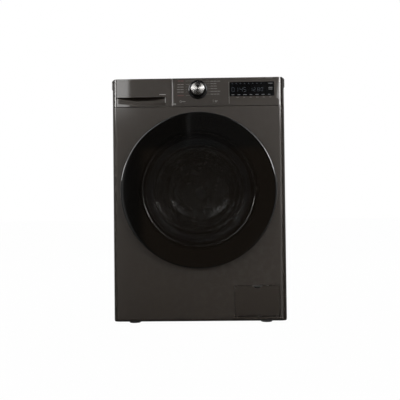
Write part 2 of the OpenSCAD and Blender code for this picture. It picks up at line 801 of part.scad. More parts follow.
module drum_lifters() {
  r = drum_d / 2 - sheet_t;
  y0 = drum_y1 + 30;
  y1 = drum_y2 - 22;
  color(plastic) for (a = [90, 210, 330]) translate([0, 0, axis_z]) rotate([0, -a, 0]) intersection() {
    translate([r - 55, y1, 0]) rotate([90, 0, 0]) linear_extrude(y1 - y0)
      polygon([[0, -12], [4, -17], [60, -34], [60, 34], [4, 17], [0, 12]]);
    rotate([-90, 0, 0]) translate([0, 0, y0 - 1]) cylinder(h = y1 - y0 + 2, r = r - gap);
  }
}

module drum_spider() {
  color("#9a9da1") difference() {
    union() {
      rod_y(0, axis_z, 34, drum_y2 + 1, drum_y2 + 16);
      for (a = [30, 150, 270]) translate([0, 0, axis_z]) rotate([0, -a, 0])
        translate([0, drum_y2 + 1, -16]) cube([drum_d / 2 - 12, 12, 32]);
      rod_y(0, axis_z, shaft_r, drum_y2 - 20, rotor_y + rotor_depth - 2);
    }
  }
}

module rotor() {
  y1 = rotor_y + rotor_depth;
  color("#33363a") turned([
    [shaft_r, y1 - 12], [rotor_r - 4, y1 - 12], [rotor_r - 4, rotor_y], [rotor_r, rotor_y],
    [rotor_r, y1 - 8], [shaft_r, y1 - 8]
  ]);
}

// ---- door ----
module door_cover() {
  color("black") turned([
    [0, door_y], [door_r - 3, door_y], [door_r, door_y + 3], [door_r, door_y + cover_t],
    [0, door_y + cover_t]
  ]);
}

module door_ring() {
  y0 = door_y + cover_t;
  color(dark) difference() {
    turned([
      [frame_r - 34, y0], [door_r - 1, y0], [door_r - 2, y0 + 12], [frame_r + 6, y_front - 8],
      [frame_r - 30, y_front - 8], [frame_r - 30, y_front - 12], [frame_r, y_front - 12],
      [door_r - 12, y0 + 10], [door_r - 16, y0 + 4], [frame_r - 34, y0 + 4]
    ]);
    // room for the hinge on the left and the latch hook on the right
    box(hinge_x - 40, hinge_x + 28, hinge_y - 8, y_front, axis_z - hinge_z - 16, axis_z + hinge_z + 16);
    box(latch_x - 12, latch_x + 12, y_front - 20, y_front, axis_z - 16, axis_z + 16);
  }
  // lugs and pin for the latch hook
  color(dark) union() {
    for (z = [axis_z - 15, axis_z + 10]) box(latch_x - 5, latch_x + 7, y0, latch_y - 1, z, z + 5);
    translate([latch_x, latch_y - 6, axis_z - 15]) cylinder(h = 30, r = latch_pin_r);
  }
}

module door_inner_frame() {
  y0 = y_front - 26;
  color(dark) turned([
    [bowl_r + 10, y0], [frame_r - 42, y0], [frame_r - 42, y_front - 7], [bowl_r + 16, y_front - 7]
  ]);
}

module door_bowl() {
  y0 = y_front - 34;
  y2 = y_front + 150;
  t = bowl_t;
  color("#8fa2ad") turned([
    [bowl_r - 6, y0], [bowl_r + 30, y0], [bowl_r + 30, y0 + t], [bowl_r, y0 + t + 2],
    [bowl_r, y_front + 25],
    [bowl_r - 12, y_front + 80], [bowl_r - 30, y_front + 130], [bowl_r - 48, y2], [0, y2], [0, y2 - t],
    [bowl_r - 50, y2 - t], [bowl_r - 34.5, y_front + 128], [bowl_r - 17, y_front + 79],
    [bowl_r - t, y_front + 24], [bowl_r - t, y0 + t + 2]
  ]);
}

module door_hinge_leaf() {
  z1 = axis_z + hinge_z - 4.3;
  z0 = axis_z - hinge_z + 4.3;
  color(steel) difference() {
    union() {
      translate([hinge_x, hinge_y, z0]) cylinder(h = z1 - z0, r = 7);
      box(hinge_x, hinge_x + 18, hinge_y - 4, hinge_y + 2, z0, z1);
    }
    translate([hinge_x, hinge_y, z0 - 1]) cylinder(h = z1 - z0 + 2, r = pin_r + 0.05);
  }
}

module door_latch_hook() {
  color(steel) difference() {
    union() {
      box(latch_x - 3, latch_x + 3, latch_y - 8, y_front + 18, axis_z - 9, axis_z + 9);
      box(latch_x - 7, latch_x - 2, y_front + 11, y_front + 18, axis_z - 9, axis_z + 9);
      translate([latch_x, latch_y - 6, axis_z - 9]) cylinder(h = 18, r = 5);
    }
    translate([latch_x, latch_y - 6, axis_z - 10]) cylinder(h = 20, r = latch_pin_r + 0.05);
  }
}

// ---- access cover and feet ----
module filter_cover() {
  x0 = access_x - access_w / 2;
  x1 = access_x + access_w / 2;
  z1 = access_z + access_h;
  color(metal) difference() {
    union() {
      front_plate(y_front, y_front + wall) round_rect(x0, x1, access_z, z1, 6);
      translate([x0 + 12, access_axis_y, access_axis_z]) rotate([0, 90, 0])
        cylinder(h = access_w - 24, r = 3);
      translate([x0 + 4, access_axis_y, access_axis_z]) rotate([0, 90, 0])
        cylinder(h = access_w - 8, r = access_pin_r);
    }
    // finger notch
    rod_y(access_x, z1, 14.5, y_front - 1, y_front + 8);
  }
}

module foot(x, y) {
  color(dark) translate([x, y, 0]) union() {
    cylinder(h = 8, r = foot_r);
    cylinder(h = stud_top, r = stud_r);
  }
}

module front_foot_left() { foot(foot_xs[0], foot_ys[0]); }
module front_foot_right() { foot(foot_xs[1], foot_ys[0]); }
module rear_foot_left() { foot(foot_xs[0], foot_ys[1]); }
module rear_foot_right() { foot(foot_xs[1], foot_ys[1]); }

base_tray();
side_panel_left();
side_panel_right();
rear_panel();
rear_cover();
top_cover();
front_panel();
control_panel();
front_crossbar();
control_board();
display_lens();
dial_bezel();
dispenser_housing();
dispenser_hose();
inlet_valve();
inlet_hoses();
drain_pump();
pump_impeller();
tub_drain_hose();
drain_pipe();
door_lock();
door_hinge_bracket();
gasket();
gasket_clamp();
suspension_springs();
damper_cylinders();
transit_bolt_caps();
cord_gland();
cabinet_screws();
tub_front();
tub_rear();
tub_seal();
tub_screws();
counterweights();
heater();
stator();
bearings();
damper_rods();
drum_shell();
drum_lifters();
drum_spider();
rotor();
door_cover();
door_ring();
door_inner_frame();
door_bowl();
door_hinge_leaf();
door_latch_hook();
drawer_front();
drawer_tray();
softener_cap();
dial_knob();
power_button();
start_button();
filter_cover();
drain_filter();
front_foot_left();
front_foot_right();
rear_foot_left();
rear_foot_right();
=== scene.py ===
"""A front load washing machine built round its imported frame: shells, fittings, finishes and a studio."""

import sys

import json
import logging
import math
import random
from dataclasses import dataclass, field
from enum import Enum
from typing import Iterable, Optional, Sequence

import bmesh
import bpy
from mathutils import Matrix, Vector

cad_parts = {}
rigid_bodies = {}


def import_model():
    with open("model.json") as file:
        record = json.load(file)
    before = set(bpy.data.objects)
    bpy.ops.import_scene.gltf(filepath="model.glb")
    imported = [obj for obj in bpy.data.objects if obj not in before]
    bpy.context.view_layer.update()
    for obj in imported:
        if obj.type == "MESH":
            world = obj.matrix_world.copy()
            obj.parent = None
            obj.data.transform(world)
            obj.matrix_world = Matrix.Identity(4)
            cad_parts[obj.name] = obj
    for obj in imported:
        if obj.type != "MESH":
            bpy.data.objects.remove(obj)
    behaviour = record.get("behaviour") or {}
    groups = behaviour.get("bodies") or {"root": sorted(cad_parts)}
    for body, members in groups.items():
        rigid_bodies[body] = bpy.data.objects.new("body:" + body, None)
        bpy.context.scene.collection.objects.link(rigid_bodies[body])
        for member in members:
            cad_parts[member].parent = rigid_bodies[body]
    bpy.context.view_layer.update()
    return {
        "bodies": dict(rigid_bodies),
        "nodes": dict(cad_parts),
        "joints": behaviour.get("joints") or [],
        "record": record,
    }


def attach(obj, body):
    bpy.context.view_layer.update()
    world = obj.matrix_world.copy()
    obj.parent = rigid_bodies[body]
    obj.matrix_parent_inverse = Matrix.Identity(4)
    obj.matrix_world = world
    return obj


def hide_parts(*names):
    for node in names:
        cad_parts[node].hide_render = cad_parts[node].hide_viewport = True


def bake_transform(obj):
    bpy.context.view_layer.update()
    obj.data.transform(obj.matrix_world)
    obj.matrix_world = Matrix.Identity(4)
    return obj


log = logging.getLogger("washer")
MM = 0.001
FULL_TURN = 2 * math.pi

Pair = tuple[float, float]
Colour = tuple[float, float, float]


class Axis(Enum):
    """A row axis."""

    X = 0
    Y = 1
    Z = 2

    @property
    def vector(self) -> Vector:
        """The axis as a unit vector."""
        return Vector([1.0 if i == self.value else 0.0 for i in range(3)])

    def at(self, across: float, along: float, centre: Sequence[float]) -> Vector:
        """A point of a turned profile.

        Args:
            across: distance from the turning axis.
            along: place along the turning axis.
            centre: a point on the turning axis.

        Returns:
            The point in the row frame.
        """
        point = Vector(centre)
        point[self.value] = along
        point[1 if self is Axis.X else 0] += across
        return point


@dataclass(frozen=True)
class Places:
    """Places that more than one sub-assembly is built to, in metres."""

    side: float = 0.2985
    half_width: float = 0.3
    front: float = -0.2655
    back: float = 0.2995
    bottom: float = 0.01
    panel_z: float = 0.751
    worktop_z: float = 0.815
    top: float = 0.85
    face_top: float = 0.8485
    axis_z: float = 0.46
    corner: float = 0.02
    seam: float = 0.0008
    return_depth: float = 0.028
    drawer_x1: float = -0.0905
    dial_z: float = 0.808
    mouth: float = 0.172
    door_y: float = -0.3135
    door_r: float = 0.265
    hinge_x: float = -0.25
    hinge_y: float = -0.296
    latch_x: float = 0.204
    access_x: float = 0.1965
    access_half: float = 0.0765
    access_z0: float = 0.027
    access_z1: float = 0.13

    @property
    def axis(self) -> Vector:
        """A point on the axis that the drum turns about."""
        return Vector((0, 0, self.axis_z))


AT = Places()


@dataclass(frozen=True)
class Opening:
    """A flat outline parallel to the front: a rectangle with round corners, or a circle."""

    x: Pair
    z: Pair
    radius: float = 0.0
    steps: int = 6

    @classmethod
    def round(cls, x: float, z: float, radius: float, steps: int = 24) -> "Opening":
        """A circle about (x, z)."""
        return cls((x - radius, x + radius), (z - radius, z + radius), radius, steps)

    def draw(self, bm: bmesh.types.BMesh, y: float) -> list[bmesh.types.BMEdge]:
        """Draws the outline as a loop of edges.

        Args:
            bm: the mesh it is drawn in.
            y: the place of its plane.

        Returns:
            The edges of the loop.
        """
        before = set(bm.edges)
        width = self.x[1] - self.x[0]
        if self.radius >= width / 2 - 1e-7 and self.radius >= (self.z[1] - self.z[0]) / 2 - 1e-7:
            made = bmesh.ops.create_circle(bm, segments=self.steps * 4, radius=self.radius)["verts"]
            bmesh.ops.rotate(bm, verts=made, cent=(0, 0, 0), matrix=Matrix.Rotation(math.pi / 2, 3, "X"))
            centre = ((self.x[0] + self.x[1]) / 2, y, (self.z[0] + self.z[1]) / 2)
            bmesh.ops.translate(bm, verts=made, vec=centre)
            return [e for e in bm.edges if e not in before]
        made = bmesh.ops.create_grid(bm, x_segments=1, y_segments=1, size=1)["verts"]
        for v in made:
            v.co = Vector((self.x[v.co.x > 0], y, self.z[v.co.y > 0]))
        if self.radius > 0:
            bmesh.ops.bevel(
                bm, geom=made, offset=self.radius, offset_type="OFFSET", segments=self.steps,
                profile=0.5, affect="VERTICES", material=-1,
            )
        edges = [e for e in bm.edges if e not in before]
        faces = {f for e in edges for f in e.link_faces}
        bmesh.ops.delete(bm, geom=list(faces), context="FACES_ONLY")
        return edges


@dataclass
class Piece:
    """One piece of the machine while its mesh is shaped."""

    name: str
    bm: bmesh.types.BMesh = field(default_factory=bmesh.new)

    def since(self, before: set) -> list:
        """The faces made since a set of faces was taken."""
        return [f for f in self.bm.faces if f not in before]

    def bevel(self, parts: list, width: float, steps: int, kind: str = "EDGES", clamp: bool = False) -> None:
        """Rounds some edges, or some corners when kind is VERTICES."""
        bmesh.ops.bevel(
            self.bm, geom=parts, offset=width, segments=steps, profile=0.5, affect=kind, material=-1,
            clamp_overlap=clamp,
        )

    def block(self, x: Pair, y: Pair, z: Pair, soft: float = 0.0, steps: int = 2) -> list:
        """Adds a box.

        Args:
            x: its two ends along X.
            y: its two ends along Y.
            z: its two ends along Z.
            soft: the radius of its edges.
            steps: how many steps round an edge takes.

        Returns:
            Its faces.
        """
        before = set(self.bm.faces)
        verts = bmesh.ops.create_cube(self.bm, size=1)["verts"]
        spans = (x, y, z)
        for v in verts:
            v.co = Vector([spans[i][v.co[i] > 0] for i in range(3)])
        if soft:
            edges = {e for v in verts for e in v.link_edges}
            self.bevel(list(edges), soft, steps)
        return self.since(before)

    def rod(
        self, axis: Axis, centre: Sequence[float], radius: float, span: Pair, sides: int = 48,
        tip: Optional[float] = None, soft: float = 0.0,
    ) -> list:
        """Adds a round bar.

        Args:
            axis: the way it points.
            centre: a point on its middle line.
            radius: its radius.
            span: its two ends along the axis.
            sides: how many sides it has.
            tip: the radius of its far end, when that differs.
            soft: the radius of its end edges.

        Returns:
            Its faces.
        """
        before = set(self.bm.faces)
        verts = bmesh.ops.create_cone(
            self.bm, cap_ends=True, segments=sides, radius1=radius,
            radius2=radius if tip is None else tip, depth=span[1] - span[0],
        )["verts"]
        turn = {
            Axis.X: Matrix.Rotation(math.pi / 2, 3, "Y"),
            Axis.Y: Matrix.Rotation(-math.pi / 2, 3, "X"),
            Axis.Z: Matrix.Identity(3),
        }[axis]
        bmesh.ops.rotate(self.bm, verts=verts, cent=(0, 0, 0), matrix=turn)
        middle = Vector(centre)
        middle[axis.value] = (span[0] + span[1]) / 2
        bmesh.ops.translate(self.bm, verts=verts, vec=middle)
        if soft:
            rims = [
                e for e in {e for v in verts for e in v.link_edges}
                if len(e.link_faces) == 2 and any(len(f.verts) > 4 for f in e.link_faces)
            ]
            self.bevel(rims, soft, 2)
        return self.since(before)

    def turn(
        self, axis: Axis, centre: Sequence[float], profile: Sequence[Pair], sides: int = 96,
        closed: bool = True,
    ) -> list:
        """Spins a profile round an axis.

        Args:
            axis: the turning axis's way.
            centre: a point on the turning axis.
            profile: points as (distance from the axis, place along it).
            sides: how many steps the full turn takes.
            closed: whether the last point joins the first.

        Returns:
            The new faces.
        """
        before = set(self.bm.faces)
        verts = [self.bm.verts.new(axis.at(r, h, centre)) for r, h in profile]
        pairs = list(zip(verts, verts[1:]))
        if closed:
            pairs.append((verts[-1], verts[0]))
        edges = [self.bm.edges.new(p) for p in pairs]
        bmesh.ops.spin(
            self.bm, geom=verts + edges, cent=centre, axis=axis.vector, dvec=(0, 0, 0),
            angle=FULL_TURN, steps=sides, use_merge=True, use_duplicate=False,
        )
        faces = self.since(before)
        points = list({v for f in faces for v in f.verts})
        bmesh.ops.remove_doubles(self.bm, verts=points, dist=1e-6)
        return self.since(before)

    def plate(self, outline: Opening, holes: Sequence[Opening], y: Pair) -> list:
        """Adds a flat plate parallel to the front, with holes through it.

        Args:
            outline: its outer edge.
            holes: the outlines of its holes.
            y: its front and its back.

        Returns:
            Its faces.
        """
        before = set(self.bm.faces)
        edges = outline.draw(self.bm, y[0])
        for hole in holes:
            edges += hole.draw(self.bm, y[0])
        bmesh.ops.triangle_fill(self.bm, edges=edges, use_beauty=True, normal=(0, -1, 0))
        front = self.since(before)
        grown = bmesh.ops.extrude_face_region(self.bm, geom=front, use_keep_orig=True)["geom"]
        moved = [g for g in grown if isinstance(g, bmesh.types.BMVert)]
        bmesh.ops.translate(self.bm, verts=moved, vec=(0, y[1] - y[0], 0))
        return self.since(before)

    def cut(self, axis: Axis, places: Iterable[float]) -> None:
        """Cuts the mesh's faces along planes square to an axis."""
        for place in places:
            bmesh.ops.bisect_plane(
                self.bm, geom=self.bm.verts[:] + self.bm.edges[:] + self.bm.faces[:],
                plane_co=axis.vector * place, plane_no=axis.vector, dist=1e-6,
            )

    def round_upright(self, side: int, steps: int = 9) -> None:
        """Rolls the face back into the cabinet's side with the round of the upright edges.

        Args:
            side: -1 for the left edge, 1 for the right one.
            steps: how many cuts the round takes.
        """
        start = AT.side - AT.corner
        angles = [k * math.pi / 2 / steps for k in range(steps)]
        self.cut(Axis.X, [side * (start + AT.corner * math.sin(a)) for a in angles])
        for v in self.bm.verts:
            out = side * v.co.x - start
            if out > 0 and v.co.y < AT.front + AT.corner - 1e-6:
                out = min(out, AT.corner)
                v.co.y = max(v.co.y, AT.front + AT.corner - math.sqrt(AT.corner**2 - out**2))

    def open_back(self, y: float, x: Pair, z: Pair, thick: float) -> None:
        """Turns a closed front into a sheet: opens its back and its holes, and gives it a thickness.

        Args:
            y: the place of the back.
            x: the outer ends along X.
            z: the outer ends along Z.
            thick: the sheet's thickness.
        """
        gone = []
        for f in self.bm.faces:
            c = f.calc_center_median()
            inside = x[0] + MM < c.x < x[1] - MM and z[0] + MM < c.z < z[1] - MM
            if abs(c.y - y) < 1e-5 or (inside and abs(f.normal.y) < 0.02 and c.y > AT.front + 0.0005):
                gone.append(f)
        bmesh.ops.delete(self.bm, geom=gone, context="FACES")
        bmesh.ops.recalc_face_normals(self.bm, faces=self.bm.faces[:])
        face = min(self.bm.faces, key=lambda f: f.calc_center_median().y)
        if face.normal.y > 0:
            bmesh.ops.reverse_faces(self.bm, faces=self.bm.faces[:])
        bmesh.ops.solidify(self.bm, geom=self.bm.faces[:], thickness=thick)

    def soften(self, width: float, angle: float = 40.0, steps: int = 2, near: Optional[Pair] = None) -> None:
        """Rounds the edges that are sharper than an angle.

        Args:
            width: the radius of the round.
            angle: the angle in degrees between the two faces from which an edge is rounded.
            steps: how many steps the round takes.
            near: only edges whose middle lies in this range of Y.
        """
        limit = math.radians(angle)
        edges = [e for e in self.bm.edges if len(e.link_faces) == 2 and e.calc_face_angle(0) > limit]
        if near:
            edges = [e for e in edges if near[0] <= (e.verts[0].co.y + e.verts[1].co.y) / 2 <= near[1]]
        self.bevel(edges, width, steps, clamp=True)

    def ring_of(self, faces: list, angle: float, axis: Axis, centre: Sequence[float], count: int) -> None:
        """Repeats faces round an axis, count in all, each a further angle in radians on."""
        for k in range(1, count):
            copy = bmesh.ops.duplicate(self.bm, geom=faces)["geom"]
            verts = [g for g in copy if isinstance(g, bmesh.types.BMVert)]
            spun = Matrix.Rotation(angle * k, 3, axis.name)
            bmesh.ops.rotate(self.bm, verts=verts, cent=centre, matrix=spun)

    def rotate(self, faces: list, angle: float, axis: Axis, centre: Sequence[float]) -> None:
        """Turns faces about an axis by an angle in radians."""
        verts = list({v for f in faces for v in f.verts})
        bmesh.ops.rotate(self.bm, verts=verts, cent=centre, matrix=Matrix.Rotation(angle, 3, axis.name))

    def done(self, crease: float = 35.0, even: bool = True) -> bpy.types.Object:
        """Closes the mesh and makes it an object.

        Args:
            crease: the angle in degrees from which an edge is shaded sharp.
            even: whether large flat faces keep one shade beside rounded edges.

        Returns:
            The object, at the origin.
        """
        bmesh.ops.remove_doubles(self.bm, verts=self.bm.verts[:], dist=2e-6)
        bmesh.ops.recalc_face_normals(self.bm, faces=self.bm.faces[:])
        limit = math.radians(crease)
        for f in self.bm.faces:
            f.smooth = True
        for e in self.bm.edges:
            e.smooth = not (len(e.link_faces) == 2 and e.calc_face_angle(0) > limit)
        mesh = bpy.data.meshes.new(self.name)
        self.bm.to_mesh(mesh)
        self.bm.free()
        piece = bpy.data.objects.new(self.name, mesh)
        bpy.context.scene.collection.objects.link(piece)
        if even:
            weigh = piece.modifiers.new("even_shade", "WEIGHTED_NORMAL")
            weigh.keep_sharp = True
        return piece


# ---- finishes ----
class Glow(Enum):
    """How a finish lights up by itself."""

    NONE = 0.0
    DIM = 0.35


@dataclass(frozen=True)
class Finish:
    """What a surface is made of and how it has aged."""

    name: str
    colour: Colour
    rough: float
    metal: float = 0.0
    coat: float = 0.0
    coat_rough: float = 0.04
    tone: float = 0.08
    tone_scale: float = 9.0
    stretch: Colour = (1.0, 1.0, 1.0)
    rough_spread: float = 0.06
    bump: float = 0.0
    bump_scale: float = 900.0
    worn: Colour = (0.3, 0.3, 0.3)
    wear: float = 0.0
    dust: float = 0.05
    clear: float = 0.0
    brushed: float = 0.0
    glow: Glow = Glow.NONE
    ior: float = 1.5
    see_through: float = 0.0
    border: float = 0.0


class FinishShop:
    """Makes each finish's material once, from shared effect groups."""

    def __init__(self) -> None:
        """Builds the effect groups."""
        self.made: dict[str, bpy.types.Material] = {}
        self.grain = self._grain_group()
        self.wear = self._wear_group()
        self.dust = self._dust_group()

    @staticmethod
    def _group(name: str, inputs: dict[str, tuple[str, float]], outputs: Sequence[str]) -> bpy.types.NodeTree:
        """Makes an empty node group.

        Args:
            name: its name.
            inputs: each input's socket kind and first value.
            outputs: the names of its number outputs.

        Returns:
            The group, with its input and output nodes.
        """
        tree = bpy.data.node_groups.new(name, "ShaderNodeTree")
        for label, (kind, value) in inputs.items():
            socket = tree.interface.new_socket(label, in_out="INPUT", socket_type=kind)
            if kind == "NodeSocketFloat":
                socket.default_value = value
        for label in outputs:
            tree.interface.new_socket(label, in_out="OUTPUT", socket_type="NodeSocketFloat")
        tree.nodes.new("NodeGroupInput")
        tree.nodes.new("NodeGroupOutput")
        return tree

    @staticmethod
    def _math(
        tree: bpy.types.NodeTree, kind: str, a: object, b: object = None, clamp: bool = False
    ) -> object:
        """Adds a Math node fed by sockets or numbers and returns its output."""
        node = tree.nodes.new("ShaderNodeMath")
        node.operation = kind
        node.use_clamp = clamp
        for i, value in enumerate((a, b)):
            if value is None:
                continue
            if isinstance(value, (int, float)):
                node.inputs[i].default_value = value
            else:
                tree.links.new(value, node.inputs[i])
        return node.outputs[0]

    @staticmethod
    def _spread(tree: bpy.types.NodeTree, value: object, low: Pair, high: Pair) -> object:
        """Adds a Map Range node from low to high and returns its output."""
        node = tree.nodes.new("ShaderNodeMapRange")
        tree.links.new(value, node.inputs["Value"])
        for label, number in zip(("From Min", "From Max", "To Min", "To Max"), (*low, *high)):
            node.inputs[label].default_value = number
        return node.outputs["Result"]

    def _noise(self, tree: bpy.types.NodeTree, vector: object, scale: object, detail: float) -> object:
        """Adds a noise and returns its strength."""
        node = tree.nodes.new("ShaderNodeTexNoise")
        node.inputs["Detail"].default_value = detail
        if isinstance(scale, (int, float)):
            node.inputs["Scale"].default_value = scale
        else:
            tree.links.new(scale, node.inputs["Scale"])
        tree.links.new(vector, node.inputs["Vector"])
        return node.outputs["Fac"]

    def _grain_group(self) -> bpy.types.NodeTree:
        """Broad and fine unevenness of a surface, along its own stretch."""
        tree = self._group(
            "surface_grain",
            {
                "Scale": ("NodeSocketFloat", 9.0), "Stretch": ("NodeSocketVector", 0.0),
                "Fine Scale": ("NodeSocketFloat", 900.0),
            },
            ("Tone", "Fine"),
        )
        given, out = tree.nodes["Group Input"], tree.nodes["Group Output"]
        place = tree.nodes.new("ShaderNodeTexCoord")
        stretch = tree.nodes.new("ShaderNodeVectorMath")
        stretch.operation = "MULTIPLY"
        tree.links.new(place.outputs["Object"], stretch.inputs[0])
        tree.links.new(given.outputs["Stretch"], stretch.inputs[1])
        tree.links.new(self._noise(tree, stretch.outputs[0], given.outputs["Scale"], 6.0), out.inputs["Tone"])
        tree.links.new(
            self._noise(tree, stretch.outputs[0], given.outputs["Fine Scale"], 2.0), out.inputs["Fine"]
        )
        return tree

    def _wear_group(self) -> bpy.types.NodeTree:
        """Where outer edges have been rubbed."""
        tree = self._group("edge_wear", {"Amount": ("NodeSocketFloat", 0.0)}, ("Mask",))
        given, out = tree.nodes["Group Input"], tree.nodes["Group Output"]
        shape = tree.nodes.new("ShaderNodeNewGeometry")
        place = tree.nodes.new("ShaderNodeTexCoord")
        edge = self._spread(tree, shape.outputs["Pointiness"], (0.52, 0.62), (0.0, 1.0))
        patchy = self._spread(
            tree, self._noise(tree, place.outputs["Object"], 45.0, 5.0), (0.45, 0.7), (0.0, 1.0)
        )
        both = self._math(tree, "MULTIPLY", edge, patchy)
        tree.links.new(
            self._math(tree, "MULTIPLY", both, given.outputs["Amount"], clamp=True), out.inputs["Mask"]
        )
        return tree

    def _dust_group(self) -> bpy.types.NodeTree:
        """Where dust has settled on what faces up."""
        tree = self._group("settled_dust", {"Amount": ("NodeSocketFloat", 0.0)}, ("Mask",))
        given, out = tree.nodes["Group Input"], tree.nodes["Group Output"]
        place = tree.nodes.new("ShaderNodeTexCoord")
        parts = tree.nodes.new("ShaderNodeSeparateXYZ")
        tree.links.new(place.outputs["Normal"], parts.inputs[0])
        up = self._spread(tree, parts.outputs["Z"], (0.35, 1.0), (0.0, 1.0))
        patchy = self._spread(
            tree, self._noise(tree, place.outputs["Object"], 14.0, 8.0), (0.3, 0.75), (0.25, 1.0)
        )
        both = self._math(tree, "MULTIPLY", up, patchy)
        tree.links.new(
            self._math(tree, "MULTIPLY", both, given.outputs["Amount"], clamp=True), out.inputs["Mask"]
        )
        return tree

    def _use(
        self, tree: bpy.types.NodeTree, group: bpy.types.NodeTree, values: dict[str, object]
    ) -> bpy.types.Node:
        """Places an effect group in a material with its own values."""
        node = tree.nodes.new("ShaderNodeGroup")
        node.node_tree = group
        for label, value in values.items():
            node.inputs[label].default_value = value
        return node

    @staticmethod
    def _blend(tree: bpy.types.NodeTree, mask: object, under: object, over: Colour) -> object:
        """Mixes a plain colour over another by a mask."""
        mix = tree.nodes.new("ShaderNodeMix")
        mix.data_type = "RGBA"
        tree.links.new(mask, mix.inputs[0])
        tree.links.new(under, mix.inputs[6])
        mix.inputs[7].default_value = (*over, 1.0)
        return mix.outputs[2]

    def material(self, finish: Finish) -> bpy.types.Material:
        """The material of a finish, made the first time that it is asked for.

        Args:
            finish: the finish.

        Returns:
            Its material.
        """
        if finish.name in self.made:
            return self.made[finish.name]
        mat = bpy.data.materials.new(finish.name)
        mat.use_nodes = True
        tree = mat.node_tree
        shader = tree.nodes["Principled BSDF"]
        grain = self._use(
            tree, self.grain,
            {"Scale": finish.tone_scale, "Stretch": finish.stretch, "Fine Scale": finish.bump_scale}
        )
        wear = self._use(tree, self.wear, {"Amount": finish.wear})
        dust = self._use(tree, self.dust, {"Amount": finish.dust})
        shade = self._spread(tree, grain.outputs["Tone"], (0.25, 0.75), (1 - finish.tone, 1 + finish.tone))
        tint = tree.nodes.new("ShaderNodeVectorMath")
        tint.operation = "SCALE"
        tint.inputs[0].default_value = finish.colour
        tree.links.new(shade, tint.inputs["Scale"])
        colour = self._blend(tree, wear.outputs["Mask"], tint.outputs[0], finish.worn)
        colour = self._blend(tree, dust.outputs["Mask"], colour, (0.42, 0.4, 0.37))
        tree.links.new(colour, shader.inputs["Base Color"])
        low, high = finish.rough - finish.rough_spread, finish.rough + finish.rough_spread
        rough = self._spread(tree, grain.outputs["Tone"], (0.25, 0.75), (max(low, 0.01), high))
        rough = self._math(
            tree, "ADD", rough, self._math(tree, "MULTIPLY", dust.outputs["Mask"], 0.35), clamp=True
        )
        tree.links.new(rough, shader.inputs["Roughness"])
        shader.inputs["Metallic"].default_value = finish.metal
        shader.inputs["IOR"].default_value = finish.ior
        shader.inputs["Coat Weight"].default_value = finish.coat
        shader.inputs["Coat Roughness"].default_value = finish.coat_rough
        shader.inputs["Transmission Weight"].default_value = finish.clear
        if finish.bump:
            height = tree.nodes.new("ShaderNodeBump")
            height.inputs["Strength"].default_value = 1.0
            height.inputs["Distance"].default_value = finish.bump
            tree.links.new(grain.outputs["Fine"], height.inputs["Height"])
            tree.links.new(height.outputs["Normal"], shader.inputs["Normal"])
        if finish.brushed:
            shader.inputs["Anisotropic"].default_value = finish.brushed
            shader.inputs["Anisotropic Rotation"].default_value = 0.25
            tangent = tree.nodes.new("ShaderNodeTangent")
            tangent.direction_type = "RADIAL"
            tangent.axis = "Y"
            tree.links.new(tangent.outputs["Tangent"], shader.inputs["Tangent"])
        if finish.glow is not Glow.NONE:
            shader.inputs["Emission Color"].default_value = (*finish.colour, 1.0)
            shader.inputs["Emission Strength"].default_value = finish.glow.value
        if finish.see_through:
            tree.links.new(self._printed_border(tree, finish), shader.inputs["Alpha"])
        self.made[finish.name] = mat
        return mat

    def _printed_border(self, tree: bpy.types.NodeTree, finish: Finish) -> object:
        """The alpha of a round window that is clear inside a dense printed border."""
        place = tree.nodes.new("ShaderNodeTexCoord")
        parts = tree.nodes.new("ShaderNodeSeparateXYZ")
        tree.links.new(place.outputs["Object"], parts.inputs[0])
        height = self._math(tree, "SUBTRACT", parts.outputs["Z"], AT.axis_z)
        across = self._math(tree, "MULTIPLY", parts.outputs["X"], parts.outputs["X"])
        up = self._math(tree, "MULTIPLY", height, height)
        radius = self._math(tree, "SQRT", self._math(tree, "ADD", across, up))
        fade = 0.006
        return self._spread(
            tree, radius, (finish.border - fade, finish.border + fade), (1 - finish.see_through, 1.0)
        )


